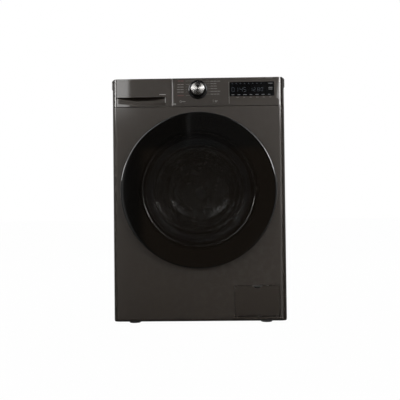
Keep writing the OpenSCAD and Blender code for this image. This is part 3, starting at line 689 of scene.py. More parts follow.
class Paint(Enum):
    """Every finish on the machine."""

    CABINET = Finish(
        "cabinet_bronze", (0.027, 0.0198, 0.0138), 0.42, metal=0.25, coat=0.55, coat_rough=0.09, tone=0.015,
        tone_scale=3.0, rough_spread=0.006, bump=0.000006, bump_scale=700.0, worn=(0.11, 0.1, 0.09),
        wear=0.15, dust=0.01,
    )
    FASCIA = Finish(
        "fascia_bronze", (0.029, 0.022, 0.016), 0.36, metal=0.3, coat=0.9, coat_rough=0.03, tone=0.015,
        tone_scale=3.0, rough_spread=0.012, bump=0.000004, bump_scale=1200.0, worn=(0.12, 0.11, 0.1),
        wear=0.2, dust=0.02,
    )
    BORDER = Finish(
        "door_tint", (0.004, 0.0035, 0.003), 0.05, coat=1.0, coat_rough=0.02, tone=0.1, rough_spread=0.01,
        dust=0.0, see_through=0.46, border=0.2,
    )
    LENS = Finish(
        "display_window", (0.0025, 0.0026, 0.003), 0.08, coat=0.6, coat_rough=0.03, rough_spread=0.01,
        dust=0.0,
    )
    BLACK = Finish(
        "black_plastic", (0.012, 0.0118, 0.0115), 0.42, tone=0.12, bump=0.00002, bump_scale=1500.0, dust=0.06,
        wear=0.15, worn=(0.05, 0.05, 0.05),
    )
    GLOSS_BLACK = Finish("gloss_black", (0.006, 0.006, 0.006), 0.14, coat=0.5, tone=0.05, dust=0.0)
    DARK_GREY = Finish(
        "dark_grey_plastic", (0.035, 0.036, 0.038), 0.4, tone=0.1, bump=0.00002, bump_scale=1500.0
    )
    CAP = Finish(
        "spun_cap", (0.3, 0.29, 0.28), 0.24, metal=1.0, tone=0.04, rough_spread=0.02, brushed=0.92, dust=0.0
    )
    SMOKED = Finish("smoked_trim", (0.5, 0.49, 0.48), 0.14, metal=1.0, tone=0.05, dust=0.0)
    ZINC = Finish(
        "zinc_plate", (0.52, 0.52, 0.5), 0.38, metal=1.0, tone=0.14, tone_scale=40.0, rough_spread=0.12,
        wear=0.2, worn=(0.7, 0.7, 0.68),
    )
    STAINLESS = Finish(
        "drum_stainless", (0.62, 0.61, 0.59), 0.24, metal=1.0, tone=0.06, tone_scale=30.0,
        stretch=(1.0, 14.0, 1.0),
        rough_spread=0.08, dust=0.0,
    )
    WHITE = Finish("white_plastic", (0.68, 0.68, 0.65), 0.42, tone=0.04, bump=0.00002, dust=0.06)
    BLUE = Finish("blue_plastic", (0.03, 0.12, 0.4), 0.3, tone=0.06, coat=0.2)
    RUBBER = Finish(
        "grey_rubber", (0.15, 0.16, 0.18), 0.6, tone=0.14, tone_scale=25.0, bump=0.00003, bump_scale=500.0,
        dust=0.12,
    )
    BLACK_RUBBER = Finish("black_rubber", (0.015, 0.015, 0.015), 0.65, tone=0.15, bump=0.00003, dust=0.15)
    TUB = Finish(
        "tub_plastic", (0.4, 0.41, 0.42), 0.5, tone=0.08, tone_scale=18.0, bump=0.00004, bump_scale=350.0
    )
    CONCRETE = Finish(
        "cast_concrete", (0.3, 0.295, 0.28), 0.85, tone=0.22, tone_scale=40.0, bump=0.0003, bump_scale=160.0,
        dust=0.2,
    )
    ALUMINIUM = Finish(
        "cast_aluminium", (0.55, 0.55, 0.54), 0.45, metal=1.0, tone=0.12, tone_scale=60.0, bump=0.00005,
        bump_scale=400.0,
    )
    ROTOR = Finish(
        "coated_steel", (0.04, 0.042, 0.046), 0.35, metal=0.6, tone=0.12, tone_scale=20.0, wear=0.4
    )
    COPPER = Finish(
        "winding_copper", (0.55, 0.22, 0.08), 0.32, metal=0.9, tone=0.2, tone_scale=70.0,
        stretch=(1.0, 8.0, 1.0),
    )
    GLASS = Finish(
        "bowl_glass", (0.93, 0.96, 0.97), 0.02, tone=0.01, rough_spread=0.008, clear=1.0, dust=0.0, ior=1.5
    )
    PRINT = Finish("print_grey", (0.26, 0.25, 0.235), 0.5, tone=0.02, dust=0.0)
    # A pale finish for a painted highlight standing for the lit end wall of the drawer grip, and for a
    # printed label bar.
    EDGE = Finish("pale_edge", (0.5, 0.49, 0.47), 0.4, tone=0.02, dust=0.0)
    PRINT_RED = Finish("print_red", (0.16, 0.045, 0.045), 0.5, tone=0.02, dust=0.0)
    DIGIT = Finish("digit_blue", (0.038, 0.045, 0.056), 0.4, glow=Glow.DIM, dust=0.0)
    ICON = Finish("icon_white", (0.2, 0.205, 0.21), 0.4, glow=Glow.DIM, dust=0.0)


SLOTS: dict[str, Paint] = {
    "cabinet_paint": Paint.CABINET, "fascia": Paint.FASCIA, "galvanised_steel": Paint.ZINC,
    "tinted_gloss": Paint.BORDER,
    "display_black": Paint.LENS, "black_plastic": Paint.BLACK, "spun_metal": Paint.CAP,
    "white_plastic": Paint.WHITE,
    "blue_plastic": Paint.BLUE, "grey_rubber": Paint.RUBBER, "tub_plastic": Paint.TUB,
    "concrete": Paint.CONCRETE,
    "stainless": Paint.STAINLESS, "cast_aluminium": Paint.ALUMINIUM, "rotor_steel": Paint.ROTOR,
    "copper_winding": Paint.COPPER, "bowl_glass": Paint.GLASS,
}


@dataclass
class Workshop:
    """Finishes pieces and hangs them on the frame."""

    frame: dict
    shop: FinishShop

    def fit(
        self, piece: Piece, body: str, paint: Paint, slot: str, replaces: Sequence[str] = (),
        crease: float = 35.0,
        even: bool = True,
    ) -> bpy.types.Object:
        """Finishes a piece, gives it its surface and lets it ride a body.

        Args:
            piece: the piece.
            body: the body that it moves with.
            paint: its finish.
            slot: not used.
            replaces: the frame's nodes that it stands for.
            crease: the angle from which an edge is shaded sharp.
            even: whether large flat faces keep one shade.

        Returns:
            The finished object.
        """
        obj = piece.done(crease, even)
        obj.data.materials.append(self.shop.material(paint.value))
        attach(obj, body)
        if replaces:
            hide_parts(*replaces)
        log.info("%s: %d faces, rides %s", obj.name, len(obj.data.polygons), body)
        return obj

    def span(
        self, piece: Piece, bodies: tuple[str, str], ends: tuple[Sequence[float], Sequence[float]],
        paint: Paint,
        slot: str, replaces: Sequence[str],
    ) -> bpy.types.Object:
        """Finishes a piece that lies between two bodies, fixed where it was built.

        Args:
            piece: the piece.
            bodies: the two bodies.
            ends: not used.
            paint: its finish.
            slot: not used.
            replaces: the frame's nodes that it stands for.

        Returns:
            The finished object.
        """
        obj = piece.done(even=False)
        obj.data.materials.append(self.shop.material(paint.value))
        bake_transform(obj)
        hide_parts(*replaces)
        log.info("%s: %d faces, spans %s and %s", obj.name, len(obj.data.polygons), *bodies)
        return obj

    def dress_frame(self) -> None:
        """Gives every node of the frame the finish of its slot."""
        for row in self.frame["record"]["subparts"]:
            node = self.frame["nodes"][row["node"]]
            paint = SLOTS[row["material_slot"]]
            node.data.materials.clear()
            node.data.materials.append(self.shop.material(paint.value))


# ---- the cabinet's shell ----
@dataclass
class CabinetShell:
    """The sheet-steel cabinet: sides, worktop, front, back and their pressings."""

    work: Workshop
    sheet: float = 0.0012
    recess: float = 0.0025
    panel_lip: float = 0.0286
    edge_round: float = 0.011
    rear_hole: float = 0.2
    vent_width: float = 0.07
    vent_rows: int = 6
    valve_x: float = -0.197
    valve_z: float = 0.775
    outlet: Pair = (0.2415, 0.092)
    gland: Pair = (0.255, 0.64)
    spigot_gap: float = 0.0192
    bolt_x: float = 0.19
    bolt_z: Pair = (0.245, 0.645)
    bolt_hole: float = 0.014

    def build(self) -> None:
        """Builds every panel."""
        for side in (-1, 1):
            self.side_panel(side)
        self.worktop()
        self.front_panel()
        self.rear_panel()
        self.rear_cover()
        self.screws()

    def side_panel(self, side: int) -> None:
        """A side panel with a shallow pressed field and folded flanges.

        Args:
            side: -1 for the left panel, 1 for the right one.
        """
        name = "left" if side < 0 else "right"
        y = (AT.front + self.panel_lip + 0.0002, AT.back)
        z = (AT.bottom, AT.worktop_z - AT.seam)
        piece = Piece(f"side_sheet_{name}")
        skin = bmesh.ops.create_grid(piece.bm, x_segments=1, y_segments=1, size=1)["verts"]
        for v in skin:
            v.co = Vector((side * AT.side, y[v.co.x > 0], z[v.co.y > 0]))
        field_face = piece.bm.faces[:]
        bmesh.ops.inset_region(piece.bm, faces=field_face, thickness=0.042, use_even_offset=True)
        corners = [v for f in field_face for v in f.verts]
        piece.bevel(corners, 0.03, 6, kind="VERTICES")
        inner = [f for f in piece.bm.faces if all(
            abs(v.co.y - y[0]) > 0.02 and abs(v.co.y - y[1]) > 0.02 for v in f.verts
        )
                 and f.calc_area() > 0.1]
        bmesh.ops.inset_region(piece.bm, faces=inner, thickness=0.014, use_even_offset=True)
        pressed = {v for f in inner for v in f.verts}
        bmesh.ops.translate(piece.bm, verts=list(pressed), vec=(-side * self.recess, 0, 0))
        bmesh.ops.recalc_face_normals(piece.bm, faces=piece.bm.faces[:])
        if piece.bm.faces[0].normal.x * side < 0:
            bmesh.ops.reverse_faces(piece.bm, faces=piece.bm.faces[:])
        bmesh.ops.solidify(piece.bm, geom=piece.bm.faces[:], thickness=self.sheet)
        inside = side * (AT.side - 0.016)
        edge = side * (AT.side - self.sheet)
        span = tuple(sorted((inside, edge)))
        piece.block(span, (y[0], y[0] + self.sheet), (0.056, 0.731))
        piece.block(span, (y[1] - 0.0027, y[1] - 0.0015), (0.056, z[1]))
        ledge = tuple(sorted((side * 0.2375, side * (AT.side - self.sheet))))
        piece.block(ledge, (0.0755, 0.1075), (0.743, 0.746))
        self.work.fit(piece, "cabinet", Paint.CABINET, "cabinet_paint", [f"side_panel_{name}"])

    def worktop(self) -> None:
        """The worktop: a moulded rim round a slightly sunk top sheet."""
        piece = Piece("worktop")
        x = (-AT.half_width, AT.half_width)
        y = (AT.front + 0.0128, AT.back)
        piece.block(x, y, (AT.worktop_z, AT.top))
        long_edges = [
            e for e in piece.bm.edges
            if all(abs(v.co.z - AT.top) < 1e-6 and abs(abs(v.co.x) - AT.half_width) < 1e-6 for v in e.verts)
        ]
        piece.bevel(long_edges, self.edge_round, 8)
        rear = [e for e in piece.bm.edges if all(
            abs(v.co.z - AT.top) < 1e-6 and v.co.y > y[1] - 1e-6 for v in e.verts
        )]
        piece.bevel(rear, 0.003, 3)
        piece.bm.normal_update()
        top = [f for f in piece.bm.faces if f.normal.z > 0.9999]
        bmesh.ops.inset_region(piece.bm, faces=top, thickness=0.014, use_even_offset=True)
        bmesh.ops.inset_region(piece.bm, faces=top, thickness=0.0008, use_even_offset=True)
        bmesh.ops.translate(piece.bm, verts=list({v for f in top for v in f.verts}), vec=(0, 0, -0.0008))
        piece.bm.normal_update()
        under = [f for f in piece.bm.faces if f.normal.z < -0.9999]
        bmesh.ops.inset_region(piece.bm, faces=under, thickness=0.004, use_even_offset=True)
        sunk = list({v for f in under for v in f.verts})
        bmesh.ops.translate(piece.bm, verts=sunk, vec=(0, 0, 0.03))
        self.work.fit(piece, "cabinet", Paint.FASCIA, "fascia", ["top_cover"])

    def front_panel(self) -> None:
        """The front panel: a sheet rolled round both upright edges, with the door's mouth and its collar."""
        piece = Piece("front_sheet")
        x, z = (-AT.side, AT.side), (AT.bottom, AT.panel_z - 2 * AT.seam)
        gap, gap_low = 0.0013, 0.0026
        holes = [
            Opening.round(0, AT.axis_z, AT.mouth, 32),
            Opening((AT.latch_x - 0.009, AT.latch_x + 0.009), (AT.axis_z - 0.016, AT.axis_z + 0.016), 0.004),
            Opening(
                (AT.access_x - AT.access_half - gap, AT.access_x + AT.access_half + gap),
                (AT.access_z0 - gap_low, AT.access_z1 + gap), 0.003,
            ),
        ]
        back = AT.front + AT.return_depth
        piece.plate(Opening(x, z), holes, (AT.front, back))
        lower = [
            e for e in piece.bm.edges
            if all(abs(v.co.x) > x[1] - 1e-6 and v.co.z < z[0] + 1e-6 for v in e.verts)
        ]
        piece.bevel(lower, 0.008, 5)
        piece.round_upright(-1)
        piece.round_upright(1)
        piece.open_back(back, x, z, self.sheet)
        y = AT.front
        piece.turn(
            Axis.Y, AT.axis,
            [
                (AT.mouth + 0.0012, y + 0.0003), (AT.mouth + 0.0003, y + 0.0006), (AT.mouth, y + 0.0016),
                (AT.mouth, y + 0.01), (AT.mouth + self.sheet, y + 0.01), (AT.mouth + self.sheet, y + 0.001),
            ],
            128,
        )
        self.work.fit(piece, "cabinet", Paint.CABINET, "cabinet_paint", ["front_panel"], crease=30)

    def rear_panel(self) -> None:
        """The back sheet with its round hole, fitting holes, vents and pressed ribs."""
        piece = Piece("rear_sheet")
        x = (-AT.side + 0.0015, AT.side - 0.0015)
        z = (0.02, 0.814)
        holes = [
            Opening.round(0, AT.axis_z, self.rear_hole, 24),
            Opening.round(self.valve_x, self.valve_z, self.spigot_gap, 8),
            Opening.round(*self.outlet, 0.013, 6),
            Opening.round(*self.gland, 0.01, 6),
        ]
        holes += [Opening.round(s * self.bolt_x, h, self.bolt_hole, 6) for s in (-1, 1) for h in self.bolt_z]
        vents = []
        for row in range(self.vent_rows):
            height = 0.708 + row * 0.013
            vents.append(Opening((0.08, 0.08 + self.vent_width), (height, height + 0.0045), 0.00224, 3))
        piece.plate(Opening(x, z), holes + vents, (AT.back - self.sheet, AT.back))
        for side in (-1, 1):
            for low, high in ((0.1, 0.2), (0.69, 0.735)):
                mid = side * 0.262
                if side > 0 and low > 0.5:
                    continue
                piece.block(
                    (mid - 0.005, mid + 0.005), (AT.back - 0.001, AT.back + 0.0016), (low, high), 0.0012
                )
        for height in (0.19, 0.152):
            piece.block((-0.17, 0.17), (AT.back - 0.001, AT.back + 0.0016), (height, height + 0.01), 0.0012)
        self.work.fit(piece, "cabinet", Paint.ZINC, "cabinet_paint", ["rear_panel"])

    def rear_cover(self) -> None:
        """The round pressed cover over the motor."""
        y = AT.back
        r = self.rear_hole
        piece = Piece("motor_cover")
        piece.turn(
            Axis.Y, AT.axis,
            [
                (0, y + 0.0062), (0.062, y + 0.0062), (0.066, y + 0.0036), (0.078, y + 0.0036),
                (0.082, y + 0.0062),
                (r - 0.0165, y + 0.0062), (r - 0.0148, y + 0.0057), (r - 0.0085, y + 0.0018),
                (r - 0.007, y + 0.0015),
                (r + 0.0136, y + 0.0015), (r + 0.014, y + 0.0011), (r + 0.014, y + 0.0003),
                (r - 0.008, y + 0.0003),
                (r - 0.0155, y + 0.005), (0.0825, y + 0.005), (0.0783, y + 0.0024), (0.0657, y + 0.0024),
                (0.0615, y + 0.005), (0, y + 0.005),
            ],
            128,
        )
        self.work.fit(piece, "cabinet", Paint.ZINC, "cabinet_paint", ["rear_cover"])

    def screws(self) -> None:
        """The screws of the back: domed heads with a cross recess."""
        piece = Piece("back_screws")
        spots = [
            (s * (AT.side - 0.009), z, AT.back + 0.0003)
            for s in (-1, 1) for z in (0.075, AT.axis_z - 0.12, AT.axis_z + 0.11, 0.755)
        ]
        for k in range(6):
            a = math.radians(30 + 60 * k)
            r = self.rear_hole + 0.006
            spots.append((r * math.cos(a), AT.axis_z + r * math.sin(a), AT.back + 0.0015))
        for x, z, y in spots:
            piece.turn(
                Axis.Y, (x, 0, z),
                [(0, y), (0.004, y), (0.004, y + 0.0008), (0.0031, y + 0.0018), (0.0018, y + 0.0023),
                 (0.0016, y + 0.0012), (0, y + 0.001)],
                18,
            )
        self.work.fit(piece, "cabinet", Paint.ZINC, "galvanised_steel", ["cabinet_screws"], even=False)


# ---- the control panel ----
@dataclass
class ControlPanel:
    """The panel over the door: its moulding, display, prints and two keys."""

    work: Workshop
    wall: float = 0.0025
    slant: float = 0.002
    key_x: float = 0.057
    key_z: float = 0.767
    key_half: Pair = (0.017, 0.007)
    lens_x: Pair = (0.109, 0.263)
    lens_z: Pair = (0.7835, 0.8325)
    mark: float = 0.00012
    rng: random.Random = field(default_factory=lambda: random.Random(7))

    def build(self) -> None:
        """Builds the moulding and everything on it."""
        self.moulding()
        self.window()
        self.digits()
        self.prints()
        for side, body in ((-1, "power_key"), (1, "start_key")):
            self.key(side, body)

    def moulding(self) -> None:
        """The panel itself, rolled round the right upright edge, with openings for dial, window and keys."""
        piece = Piece("control_fascia")
        x = (AT.drawer_x1 + AT.seam, AT.side)
        z = (AT.panel_z, AT.face_top)
        back = AT.front + AT.return_depth
        slack = 0.0003
        holes = [Opening.round(0, AT.dial_z, 0.0265, 16)]
        holes.append(Opening(
            (self.lens_x[0] - slack, self.lens_x[1] + slack),
            (self.lens_z[0] - slack, self.lens_z[1] + slack), 0.003,
        ))
        for s in (-1, 1):
            holes.append(
                Opening(
                    (s * self.key_x - self.key_half[0] - slack, s * self.key_x + self.key_half[0] + slack),
                    (self.key_z - self.key_half[1] - slack, self.key_z + self.key_half[1] + slack), 0.0022,
                )
            )
        piece.plate(Opening(x, z), holes, (AT.front, back))
        corner = [v for v in piece.bm.verts if v.co.x > x[1] - 1e-6 and v.co.z > z[1] - 1e-6]
        upper = [e for e in piece.bm.edges if all(v in corner for v in e.verts)]
        piece.bevel(upper, 0.0105, 7)
        piece.round_upright(1)
        piece.soften(0.0012, 50, 2, near=(AT.front - 0.001, AT.front + 0.02))
        piece.cut(Axis.X, [x[0] + self.slant])
        for v in piece.bm.verts:
            if v.co.x < x[0] + self.slant and v.co.y < AT.front + 0.006:
                v.co.y += (x[0] + self.slant - v.co.x) * 0.17
        piece.open_back(back, x, z, self.wall)
        piece.block((x[0], x[0] + self.wall), (AT.front + 0.003, back + 0.004), (z[0] + 0.003, 0.8142))
        piece.block((-AT.side + 0.002, x[0] + self.wall), (back + 0.001, back + 0.004), (z[0], 0.7555))
        self.work.fit(piece, "cabinet", Paint.FASCIA, "fascia", ["control_panel"], crease=30)

    def window(self) -> None:
        """The polished display window."""
        piece = Piece("display_window")
        piece.plate(Opening(self.lens_x, self.lens_z, 0.0028), [], (AT.front - 0.0003, AT.front + 0.0018))
        piece.soften(0.0002, 50, 1)
        self.work.fit(piece, "cabinet", Paint.LENS, "display_black", ["display_lens"])
        edge = Piece("window_trim")
        y = AT.front
        edge.block(
            (self.lens_x[0] - 0.0019, self.lens_x[0] - 0.0007), (y - 0.0003, y + 0.0004), (0.758, 0.8335),
            0.0001, 1,
        )
        self.work.fit(edge, "cabinet", Paint.PRINT, "spun_metal", even=False)

    def _stroke(self, piece: Piece, x: float, z: float, wide: float, high: float, proud: float = 0.0) -> None:
        """Adds a flat printed stroke centred on (x, z), on the panel, the window or a proud key."""
        y = AT.front - proud
        if self.lens_x[0] < x < self.lens_x[1] and self.lens_z[0] < z < self.lens_z[1]:
            y -= 0.0003
        piece.block((x - wide / 2, x + wide / 2), (y - self.mark, y + 0.00005), (z - high / 2, z + high / 2))

    def digits(self) -> None:
        """Dim seven-segment figures and small lit signs behind the window."""
        figures = Piece("display_figures")
        shapes = {"0": "abcdef", "1": "bc", "2": "abged", "4": "fgbc", "5": "afgcd", "8": "abcdefg"}
        bars = {
            "a": (0, 1, True), "d": (0, -1, True), "g": (0, 0, True),
            "b": (1, 0.5, False), "c": (1, -0.5, False), "f": (-1, 0.5, False), "e": (-1, -0.5, False),
        }
        for text, start, size in (("0145", 0.1215, 1.0), ("1280", 0.184, 0.78)):
            half, tall, thick = 0.0041 * size, 0.0072 * size, 0.0009
            for i, figure in enumerate(text):
                x = start + (i * 0.0125 + (0.003 if i > 1 else 0)) * (0.6 + 0.4 * size)
                for bar in shapes[figure]:
                    dx, dz, flat = bars[bar]
                    bar_size = (half * 1.7, thick) if flat else (thick, tall * 0.86)
                    self._stroke(figures, x + dx * half, 0.8062 + dz * tall, *bar_size)
        self.work.fit(figures, "cabinet", Paint.DIGIT, "display_black", even=False)
        signs, figures_row = Piece("display_signs"), Piece("display_icons")
        for i in range(8):
            x = 0.119 + i * 0.0142
            self._stroke(figures_row, x, 0.8266, 0.0042, 0.001)
            self._stroke(figures_row, x, 0.8286, 0.0022, 0.0009)
        for i in range(7):
            wide = self.rng.uniform(0.008, 0.014)
            self._stroke(signs, 0.121 + i * 0.0208, 0.7885, wide, 0.0013)
        for z in (0.8268, 0.8125, 0.8065):
            self._stroke(signs, 0.2505, z, 0.0135, 0.0016)
        self.work.fit(figures_row, "cabinet", Paint.DIGIT, "display_black", even=False)
        self.work.fit(signs, "cabinet", Paint.ICON, "display_black", even=False)

    def prints(self) -> None:
        """The rows of print beside the dial, with a thin guide to each row."""
        pale, red = Piece("panel_prints"), Piece("panel_prints_red")
        left = (0.8392, 0.8268, 0.8182, 0.8095, 0.8008, 0.7886)
        right = (0.8366, 0.8286, 0.8199, 0.8112, 0.8018, 0.792)
        for i, z in enumerate(left):
            self._row(red if i in (0, 5) else pale, -0.0495, z, -1)
        for z in right:
            self._row(pale, 0.0438, z, 1)
        for i, z in enumerate(right):
            self._guide(pale, z, 1, i)
        for i, z in enumerate(left):
            self._guide(pale, z, -1, i)
        self._stroke(pale, -0.0805, 0.7592, 0.0085, 0.0052)
        self._stroke(pale, 0.2465, 0.8458, 0.024, 0.0017)
        for i in range(6):
            self._stroke(pale, 0.137 + i * 0.0226, 0.7795, self.rng.uniform(0.006, 0.011), 0.0009)
        self.work.fit(pale, "cabinet", Paint.PRINT, "fascia", even=False)
        self.work.fit(red, "cabinet", Paint.PRINT_RED, "fascia", even=False)

    def _row(self, piece: Piece, edge: float, z: float, side: int) -> None:
        """One row of print as a few word-long strokes running away from the dial."""
        x = edge
        for _ in range(self.rng.choice((2, 3))):
            wide = self.rng.uniform(0.008, 0.0125)
            self._stroke(piece, x + side * wide / 2, z, wide, 0.0019)
            x += side * (wide + 0.0014)

    def _guide(self, piece: Piece, z: float, side: int, row: int) -> None:
        """The thin line from a row of print to the dial's ring."""
        reach = math.sqrt(max(0.0335**2 - min(abs(z - AT.dial_z), 0.0325) ** 2, 0))
        inner, outer = reach + 0.0035, 0.042
        if row in (0, 5):
            inner = 0.012
            z_line = z
            self._stroke(piece, side * (inner + outer) / 2, z_line, outer - inner, 0.0005)
            return
        if outer - inner > 0.001:
            self._stroke(piece, side * (inner + outer) / 2, z, outer - inner, 0.0005)

    def _sign(self, side: int, body: str) -> None:
        """The sign printed on a key: a ring with a stroke, or an upright with two bars."""
        proud = 0.0002
        x, z = side * self.key_x, self.key_z + 0.0005
        if side < 0:
            piece = Piece("power_key_sign")
            y = AT.front - proud
            ring = [
                (0.0026, y - self.mark), (0.0038, y - self.mark), (0.0038, y + 0.00005), (0.0026, y + 0.00005)
            ]
            piece.turn(Axis.Y, (x - 0.003, 0, z), ring, 20)
            self._stroke(piece, x - 0.003, z + 0.003, 0.001, 0.003, proud + 0.00005)
            self._stroke(piece, x + 0.0078, z, 0.0115, 0.0021, proud)
        else:
            piece = Piece("start_key_sign")
            self._stroke(piece, x - 0.0045, z + 0.001, 0.0012, 0.0095, proud)
            self._stroke(piece, x + 0.006, z + 0.0014, 0.0095, 0.002, proud)
            self._stroke(piece, x + 0.005, z - 0.0022, 0.0072, 0.002, proud)
        self.work.fit(piece, body, Paint.PRINT, "fascia", even=False)

    def key(self, side: int, body: str) -> None:
        """A key flush with the panel.

        Args:
            side: -1 for the power key, 1 for the start key.
            body: the body that it moves with.
        """
        name = "power_key_cap" if side < 0 else "start_key_cap"
        piece = Piece(name)
        x = side * self.key_x
        piece.plate(
            Opening(
                (x - self.key_half[0], x + self.key_half[0]),
                (self.key_z - self.key_half[1], self.key_z + self.key_half[1]), 0.002,
            ),
            [], (AT.front - 0.0002, AT.front + self.wall),
        )
        piece.soften(0.0004, 50, 2, near=(AT.front - 0.001, AT.front + 0.0005))
        piece.rod(Axis.Y, (x, 0, self.key_z), 0.002, (AT.front + self.wall - 0.0002, AT.front + 0.0046), 16)
        node = "power_button" if side < 0 else "start_button"
        self.work.fit(piece, body, Paint.FASCIA, "fascia", [node])
        self._sign(side, body)


# ---- the dial ----
@dataclass
class Dial:
    """The programme dial: a black skirt with a spun metal cap, inside a black ring."""

    work: Workshop
    radius: float = 0.0255
    proud: float = 0.028
    grips: int = 48

    def build(self) -> None:
        """Builds ring, skirt and cap."""
        y = AT.front
        centre = (0, 0, AT.dial_z)
        ring = Piece("dial_ring")
        ring.turn(
            Axis.Y, centre,
            [
                (0.0276, y), (0.0276, y - 0.0032), (0.0282, y - 0.0042), (0.0296, y - 0.0049),
                (0.0314, y - 0.0046),
                (0.0326, y - 0.003), (0.033, y - 0.001), (0.033, y),
            ],
            96,
        )
        self.work.fit(ring, "cabinet", Paint.GLOSS_BLACK, "black_plastic", ["dial_bezel"])
        tip = y - self.proud
        skirt = Piece("dial_skirt")
        skirt.turn(
            Axis.Y, centre,
            [
                (0, y - 0.001), (self.radius, y - 0.001), (self.radius, y - 0.004),
                (self.radius - 0.0006, y - 0.012),
                (self.radius - 0.001, tip + 0.0035), (self.radius - 0.0018, tip + 0.0015),
                (self.radius - 0.0034, tip + 0.0006),
                (0, tip + 0.0006),
            ],
            96,
        )
        for k in range(self.grips):
            rib = skirt.block(
                (-0.00035, 0.00035), (tip + 0.005, y - 0.003), (self.radius - 0.0012, self.radius - 0.0001),
                0.00012, 1,
            )
            verts = list({v for f in rib for v in f.verts})
            bmesh.ops.translate(skirt.bm, verts=verts, vec=(0, 0, AT.dial_z))
            skirt.rotate(rib, FULL_TURN * k / self.grips, Axis.Y, centre)
        skirt.rod(Axis.Y, centre, 0.004, (y - 0.0012, y + 0.021), 24)
        self.work.fit(skirt, "dial", Paint.GLOSS_BLACK, "spun_metal", ["dial_knob"])
        cap = Piece("dial_cap")
        cap.turn(
            Axis.Y, centre,
            [
                (0, tip + 0.0008), (0.0223, tip + 0.0008), (0.0223, tip + 0.0004), (0.0219, tip + 0.00015),
                (0.0212, tip), (0, tip),
            ],
            96,
        )
        self.work.fit(cap, "dial", Paint.CAP, "spun_metal", even=False)
        pointer = Piece("dial_pointer")
        pointer.block(
            (-0.0006, 0.0006), (tip + 0.0002, tip + 0.0012), (AT.dial_z + 0.0205, AT.dial_z + 0.0236), 0.0002,
            1,
        )
        self.work.fit(pointer, "dial", Paint.PRINT, "spun_metal", even=False)


